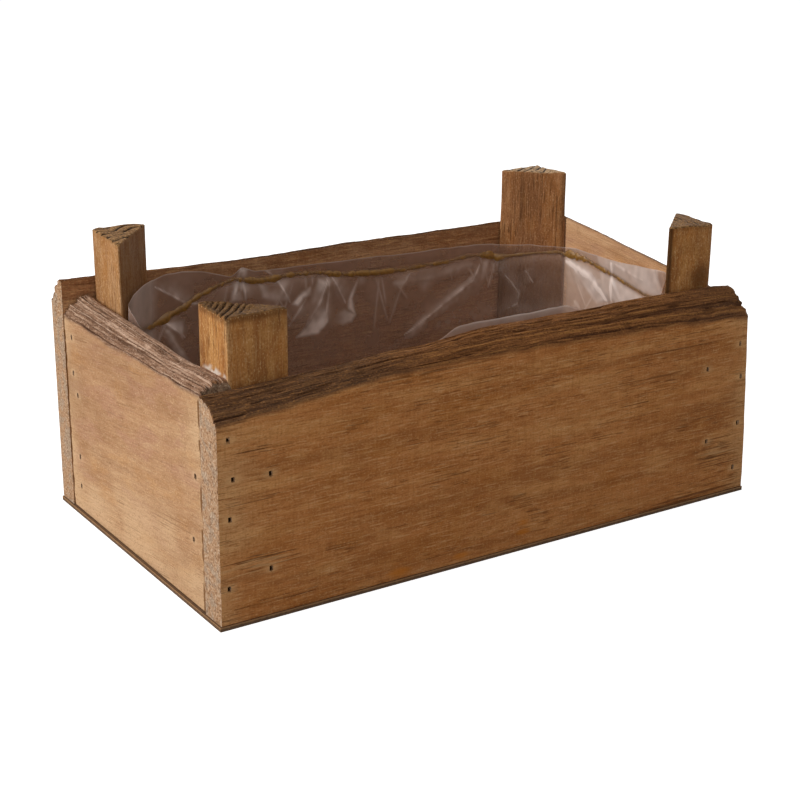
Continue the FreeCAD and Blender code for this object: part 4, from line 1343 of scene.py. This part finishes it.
# %% Stained wood
def stained_wood(name, grain, tones, coats, end_coats, bark_coats, shift, tilt):
    """Softwood with its grain along one axis: sides, end grain by the normal, bark by attribute."""
    material, tree = new_material(name)
    layer = wood_layers(tree, grain, tilt, shift)
    normal = add(tree, "NewGeometry").outputs["Normal"]
    axis = tuple(float(i == grain) for i in range(3))
    facing = add(tree, "VectorMath", {0: normal, 1: axis}, operation="DOT_PRODUCT").outputs["Value"]
    turned_away = add(tree, "Math", {0: facing}, operation="ABSOLUTE")
    is_end = add(tree, "MapRange",
                 {"Value": turned_away, "From Min": END_FROM, "From Max": END_TO},
                 interpolation_type="SMOOTHSTEP")
    for key in ("cap", "top"):
        is_end = add(tree, "Math", {0: is_end, 1: layer[key]}, operation="MAXIMUM")
    off_cap = add(tree, "Math", {0: 1.0, 1: layer["cap"]}, operation="SUBTRACT")
    is_bark = add(tree, "Math", {0: layer["bark"], 1: off_cap}, operation="MULTIPLY")

    side = laid_over(tree, colour(tones["mid"]), coats, layer, tones)
    end = laid_over(tree, colour(tones["end"]), end_coats, layer, tones)
    bark = laid_over(tree, colour(tones["bark"]), bark_coats, layer, tones)
    wood = add(tree, "Mix", {0: is_end, MIX_A: side, MIX_B: end}, data_type="RGBA").outputs[MIX_RESULT]
    all_over = add(tree, "Mix", {0: is_bark, MIX_A: wood, MIX_B: bark},
                   data_type="RGBA").outputs[MIX_RESULT]

    wood_height = weighted(tree, WOOD_BUMP, layer)
    bark_height = weighted(tree, BARK_BUMP, layer)
    height = add(tree, "Mix", {0: is_bark, 2: wood_height, 3: bark_height})
    bump = add(tree, "Bump", {"Strength": 0.9, "Distance": BUMP_HEIGHT * MM, "Height": height})
    rough = add(tree, "MapRange",
                {"Value": layer["fibre"], "From Min": 0.3, "From Max": 0.7, "To Min": 0.65, "To Max": 0.85})
    shader = add(tree, "BsdfPrincipled", {
        "Base Color": all_over, "Roughness": rough, "IOR": 1.45, "Specular IOR Level": 0.1,
        "Normal": bump,
    })
    add(tree, "OutputMaterial", {"Surface": shader})
    return material

# %% [markdown]
# Each wood has its own tones, and each coat says which pattern it follows, from which
# value of it to which, how strongly, and in which tone. The left board is sanded pale,
# the front one is stained, and the posts are split and rough.

# %% Tones and coats
END_TONES = {"end": "#ba926f", "end_dark": "#7b5535", "end_pale": "#dcc2a6", "end_grey": "#a5927f"}
# the first two tones below paint shade: the first in the brad sinks, where it is also the darkest stain,
# and the second with grime in the gaps
DARK_TONES = dict(
    END_TONES, hole="#2c1807", grime="#6b4219", resin="#c9761f", char="#5a4636", fluff="#e6dacd",
)
FRONT_TONES = dict(
    DARK_TONES, mid="#bb7943", dark="#92592c", light="#d0955a", warm="#ac6b32", fleck="#5a3517",
    pale="#dbab76",
    bark="#845530", bark_dark="#442715", bark_pale="#b17a44",
)
BACK_TONES = dict(FRONT_TONES, mid="#b27f58", dark="#855a3a", light="#c79c74", warm="#a46e43")
LEFT_TONES = dict(
    DARK_TONES, mid="#bd9069", dark="#a1744f", light="#cba27a", warm="#c08a52", fleck="#7a5334",
    pale="#dbb58c",
    rose="#b58569", bark="#98735a", bark_dark="#4a2d1c", bark_pale="#d9b89f", char="#84684f",
    end="#a68569", end_dark="#5c4432", end_pale="#cfb297", end_grey="#8f745b",
)
RIGHT_TONES = dict(LEFT_TONES, mid="#cf9f75", dark="#b08158", light="#dcb288", warm="#cd965c")
POST_TONES = dict(
    DARK_TONES, mid="#b87d45", dark="#8a562c", light="#cb9659", warm="#b46f2e", fleck="#5a361a",
    pale="#dfb681",
    bark="#6a4630", bark_dark="#3a2418", bark_pale="#9a7657",
    end="#85603a", end_dark="#2a1a0d", end_pale="#b58c58", end_grey="#6b4a2c",
)
DARK_TOP_TONES = dict(POST_TONES, end="#705030", end_dark="#2b1a0c", end_pale="#957045", end_grey="#573c22")
GREY_POST_TONES = dict(
    POST_TONES, mid="#b0804f", dark="#85562f", light="#c3966a", warm="#ab733c", pale="#d9b48d",
    fleck="#5e3514",
    end="#9c744a", end_pale="#c79d6c",
)
DEEP_POST_TONES = dict(
    POST_TONES, mid="#a47047", dark="#74492b", light="#b68455", warm="#9a6334", pale="#c5976d",
    fleck="#452a16",
    end="#c09a72", end_pale="#e0c29c", end_grey="#9c7a56",
)
# common patterns: where each of their tones starts and is full, and the tone
GROUND = {
    "figure": ((0.45, 0.62, "dark"), (0.45, 0.33, "light")),
    "mottle": ((0.5, 0.66, "warm"), (0.46, 0.32, "light")),
    "rosy": ((0.5, 0.66, "rose"), (0.46, 0.3, "warm")),
    "cloud": ((0.52, 0.68, "dark"), (0.46, 0.3, "light")),
    "worn": ((0.05, 0.7, "pale"),),
    "streak": ((0.52, 0.7, "dark"), (0.46, 0.3, "light")),
    "fibre": ((0.52, 0.7, "dark"), (0.46, 0.3, "pale")),
    "nap": ((0.54, 0.74, "pale"), (0.46, 0.26, "dark")),
    "saw": ((0.52, 0.7, "dark"), (0.46, 0.3, "light")),
}


def ground_coats(**amounts):
    """Coats of common patterns in their order, from an amount for each of a pattern's tones."""
    return [
        ("mottle" if key == "rosy" else key, start, full, amount, tone)
        for key, shares in amounts.items()
        for (start, full, tone), amount in zip(GROUND[key], shares)
    ]


MARKS = (
    ("stain", 0.0, 1.0, 0.65, "fleck"), ("stain", 0.5, 1.0, 0.6, "hole"),
    ("resin", 0.25, 0.9, 0.6, "resin"), ("halo", 0.2, 1.0, 0.5, "pale"),
    # painted shade in the brad sinks, and painted shade with grime in the gaps between the pieces
    ("sink", 0.1, 0.95, 0.95, "hole"), ("joint", 0.2, 0.75, 0.85, "grime"),
)
SIDE_COATS = (
    *ground_coats(figure=(0.6, 0.55), mottle=(0.6, 0.45), cloud=(0.3, 0.25), worn=(0.5,),
                  streak=(0.3, 0.25), fibre=(0.6, 0.5), nap=(0.42, 0.55), saw=(0.22, 0.16)),
    ("clump", 0.56, 0.7, 0.55, "fleck"), ("split", 0.6, 0.7, 0.6, "fleck"),
    ("torn_dark", 0.48, 0.62, 0.65, "fleck"), ("torn_crack", 0.5, 0.6, 0.75, "fleck"),
    ("torn_pale", 0.44, 0.6, 0.5, "pale"), *MARKS,
)
POST_COATS = (
    *ground_coats(figure=(0.55, 0.5), mottle=(0.6, 0.45), cloud=(0.45, 0.35), worn=(0.55,),
                  streak=(0.2, 0.16), fibre=(0.35, 0.3)),
    ("nap", 0.54, 0.73, 0.55, "pale"), ("nap", 0.46, 0.27, 0.66, "dark"),
    ("clump", 0.54, 0.68, 0.55, "fleck"), ("split", 0.6, 0.7, 0.6, "fleck"),
    ("fray", 0.2, 0.9, 0.55, "fleck"), ("frayed", 0.5, 0.66, 0.6, "pale"),
    *MARKS, ("fluff", 0.15, 0.85, 0.85, "fluff"),
)
LEFT_COATS = (
    *ground_coats(figure=(0.55, 0.5), rosy=(0.65, 0.45), cloud=(0.4, 0.35), worn=(0.75,),
                  streak=(0.22, 0.2), fibre=(0.25, 0.2), nap=(0.55, 0.6)),
    ("clump", 0.6, 0.72, 0.35, "fleck"), ("split", 0.64, 0.72, 0.4, "fleck"),
    ("torn_dark", 0.52, 0.64, 0.4, "fleck"), *MARKS,
)
END_COATS = (
    ("ring_end", 0.16, 0.02, 0.3, "end_dark"), ("patch", 0.46, 0.6, 0.6, "end_grey"),
    ("pore", 0.54, 0.66, 0.75, "end_dark"), ("pore", 0.46, 0.32, 0.65, "end_pale"),
    # painted shade with dark stain in the saw slits of the post tops
    ("slit", 0.15, 0.6, 0.95, "end_dark"),
)
BARK_COATS = (
    ("strand", 0.52, 0.8, 0.75, "bark_pale"), ("strand", 0.46, 0.2, 0.8, "bark_dark"),
    ("char", 0.0, 1.0, 0.6, "char"), ("fibre", 0.52, 0.7, 0.5, "bark_dark"),
    ("fibre", 0.46, 0.3, 0.35, "bark_pale"), ("nap", 0.54, 0.74, 0.6, "bark_pale"),
    # the groove coat paints shade into the bark's grooves and chips and darkens its dark bands
    ("nap", 0.46, 0.26, 0.65, "bark_dark"), ("cavity", 0.25, 1.0, 0.75, "bark_dark"),
    # painted shade with grime on the bark at the joints
    ("joint", 0.3, 0.8, 0.6, "grime"),
)
print("coats:", len(SIDE_COATS), "on the long boards,", len(LEFT_COATS), "on the end boards")

# %% [markdown]
# The grain runs along X on the long boards, along Y on the end boards and up the posts.
# Each wood's patterns are shifted, so that no two pieces are alike.

# %% The eight woods
LEFT_TILT = math.radians(6)
# node: name, axis of the grain, tones, coats, shift of the patterns, tilt of the grain
WOODS = {
    "front_board": ("brown_stained_board", 0, FRONT_TONES, SIDE_COATS, 0.0, (0, 0, 0)),
    "back_board": ("brown_stained_back", 0, BACK_TONES, SIDE_COATS, 3.3, (0, 0, 0)),
    "left_end_board": ("sanded_end_board", 1, LEFT_TONES, LEFT_COATS, 7.1, (LEFT_TILT, 0, 0)),
    "right_end_board": ("sanded_far_board", 1, RIGHT_TONES, LEFT_COATS, 11.9, (-LEFT_TILT, 0, 0)),
    "front_left_post": ("split_post_a", 2, DARK_TOP_TONES, POST_COATS, 1.4, (0, 0, 0)),
    "front_right_post": ("split_post_b", 2, POST_TONES, POST_COATS, 5.2, (0, 0, 0)),
    "back_left_post": ("split_post_c", 2, GREY_POST_TONES, POST_COATS, 9.6, (0, 0, 0)),
    "back_right_post": ("split_post_d", 2, DEEP_POST_TONES, POST_COATS, 13.8, (0, 0, 0)),
}
for node, (name, grain, tones, coats, shift, tilt) in WOODS.items():
    piece = boards.get(node) or posts[node]
    piece.data.materials.append(stained_wood(name, grain, tones, coats, END_COATS, BARK_COATS, shift, tilt))
print("woods:", [name for name, *_ in WOODS.values()])

# %% [markdown]
# ## Film, glue, hardboard and steel
# Clear polythene is blown into a thin, smooth film. It mirrors the lights on its folds,
# lets most light through and adds a thin pale haze where it is scuffed. The haze has a darker
# brown tone that paints the shade inside the box, and a pale tone where highlights and sheen are painted.

# %% The film's finish
SCUFF_SIZE = 11
RIPPLE_SIZE = 6
RIPPLE_HEIGHT = 0.4
FILM_CLEAR = "#f4f4f6"
# the haze's darker brown tone paints the shade inside the box, and the pale tone the highlights and sheen
# on the folds
FILM_SHADED_HAZE = "#a37f6b"
FILM_SHEEN_TONE = "#e9d4c8"
SHEEN_FULL = 0.35
# the film's faces mirror this much straight on, and all at a glancing angle
FILM_MIRROR = 0.06

film_material, tree = new_material("clear_polythene")
place = add(tree, "TexCoord").outputs["Object"]
scuffs = add(tree, "TexNoise", {"Vector": place, "Scale": 1 / (SCUFF_SIZE * MM), "Detail": 4.0})
patchy = add(
    tree, "MapRange",
    {"Value": scuffs, "From Min": 0.35, "From Max": 0.7, "To Min": 0.7, "To Max": 1.4},
)
carried = {key: add(tree, "Attribute", attribute_name=key).outputs["Fac"] for key in ("white", "haze")}
# milk where the film is hazy and where highlights, sheen and whitening are painted
milky = add(
    tree, "Math", {0: carried["haze"], 1: patchy, 2: carried["white"]},
    operation="MULTIPLY_ADD",
)
ripple = add(tree, "TexNoise", {"Vector": place, "Scale": 1 / (RIPPLE_SIZE * MM), "Detail": 2.0})
bump = add(tree, "Bump", {"Strength": 0.2, "Distance": RIPPLE_HEIGHT * MM, "Height": ripple})
facing = add(tree, "LayerWeight", {"Blend": 0.5, "Normal": bump}).outputs["Facing"]
glancing = add(tree, "Math", {0: facing, 1: 5.0}, operation="POWER")
mirror = add(
    tree, "Math", {0: glancing, 1: 1 - FILM_MIRROR, 2: FILM_MIRROR}, operation="MULTIPLY_ADD",
)
clear = add(tree, "BsdfTransparent", {"Color": colour(FILM_CLEAR)})
gloss = add(tree, "BsdfGlossy", {"Color": (1, 1, 1, 1), "Roughness": 0.32, "Normal": bump})
skin = add(tree, "MixShader", {0: mirror, 1: clear, 2: gloss})
# pale tone where highlights and sheen are painted, darker tone with painted shade elsewhere
sheen_share = add(tree, "MapRange", {"Value": carried["white"], "From Min": 0.0, "From Max": SHEEN_FULL})
pale = add(
    tree, "Mix",
    {0: sheen_share, MIX_A: colour(FILM_SHADED_HAZE), MIX_B: colour(FILM_SHEEN_TONE)}, data_type="RGBA",
)
milk = add(tree, "BsdfPrincipled", {"Base Color": pale.outputs[MIX_RESULT], "Roughness": 0.45})
both = add(tree, "MixShader", {0: milky, 1: skin, 2: milk})
add(tree, "OutputMaterial", {"Surface": both})
film.data.materials.append(film_material)
print("film:", len(tree.nodes), "nodes")

# %% [markdown]
# The glue is amber hot melt laid from a gun, half clear and a little glossy, so its tone
# changes along the way. The bottom panel is pressed fibre board, dark, flecked and without
# shine. The brads are steel wire, dull, and their tones are near black to paint the shade in
# their sinks. All three are two tones mixed by a noise that is drawn as coarse as it needs to show.

# %% Finishes of two tones
# name: size of the pattern in mm, its detail, the two tones, other settings of the shader
TWO_TONES = {
    "amber_hot_melt": (1.3, 4.0, "#40280a", "#b58238", {"Roughness": 0.45, "IOR": 1.48}),
    "pressed_fibre_board": (1.2, 4.0, "#4c3625", "#82674f", {"Roughness": 0.8, "Specular IOR Level": 0.1}),
    # the brad steel's near-black tones are painted shade of the sinks it sits in
    "brad_steel_with_painted_shade": (0.9, 3.0, "#2e1b0a", "#170d05", {"Roughness": 0.85, "Specular IOR Level": 0.02}),
}
finishes = {}
for name, (size, detail, low_tone, high_tone, settings) in TWO_TONES.items():
    material, tree = new_material(name)
    place = add(tree, "TexCoord").outputs["Object"]
    pattern = add(tree, "TexNoise", {"Vector": place, "Scale": 1 / (size * MM), "Detail": detail})
    tones = add(
        tree, "Mix",
        {0: pattern, MIX_A: colour(low_tone), MIX_B: colour(high_tone)}, data_type="RGBA",
    )
    shader = add(tree, "BsdfPrincipled", {"Base Color": tones.outputs[MIX_RESULT], **settings})
    add(tree, "OutputMaterial", {"Surface": shader})
    finishes[name] = SimpleNamespace(
        material=material, tree=tree, place=place, pattern=pattern, shader=shader,
        tone=tones.outputs[MIX_RESULT],
    )
bead.data.materials.append(finishes["amber_hot_melt"].material)
print("finishes:", list(finishes))

# %% [markdown]
# The boards' stain has run over the top of the panel's cut edge, in a ragged line.
# The line is the height of a point with some of the fibres' noise added, and it
# counts only where the surface stands upright.

# %% Stain on the panel's edge
STAIN_TONE = "#a27a54"
STAIN_RAGGED = 0.8
STAIN_LOW = 1.4
STAIN_FULL = 1.9
UPRIGHT_BELOW = 0.5
PANEL_BUMP = 0.2

panel = finishes["pressed_fibre_board"]
tree = panel.tree
height = add(tree, "SeparateXYZ", {0: panel.place}).outputs["Z"]
ragged = add(tree, "Math", {0: panel.pattern, 1: STAIN_RAGGED * MM, 2: height}, operation="MULTIPLY_ADD")
run_over = add(
    tree, "MapRange",
    {"Value": ragged, "From Min": STAIN_LOW * MM, "From Max": STAIN_FULL * MM},
)
normal = add(tree, "NewGeometry").outputs["Normal"]
upward = add(tree, "SeparateXYZ", {0: normal}).outputs["Z"]
on_edge = add(tree, "Math", {0: upward, 1: UPRIGHT_BELOW}, operation="LESS_THAN")
stained = add(tree, "Math", {0: run_over, 1: on_edge}, operation="MULTIPLY")
brown = add(
    tree, "Mix",
    {0: stained, MIX_A: panel.tone, MIX_B: colour(STAIN_TONE)}, data_type="RGBA",
)
bump = add(tree, "Bump", {"Strength": 0.5, "Distance": PANEL_BUMP * MM, "Height": panel.pattern})
tree.links.new(brown.outputs[MIX_RESULT], panel.shader.inputs["Base Color"])
tree.links.new(bump.outputs[FIRST], panel.shader.inputs["Normal"])

brad_nodes = [node for node in sorted(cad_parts) if node.endswith("_brads")]
cad_shown = {"base_panel": panel} | {node: finishes["brad_steel_with_painted_shade"] for node in brad_nodes}
for node, finish in cad_shown.items():
    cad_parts[node].data.materials.clear()
    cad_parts[node].data.materials.append(finish.material)
print("shown as the CAD has them:", list(cad_shown))
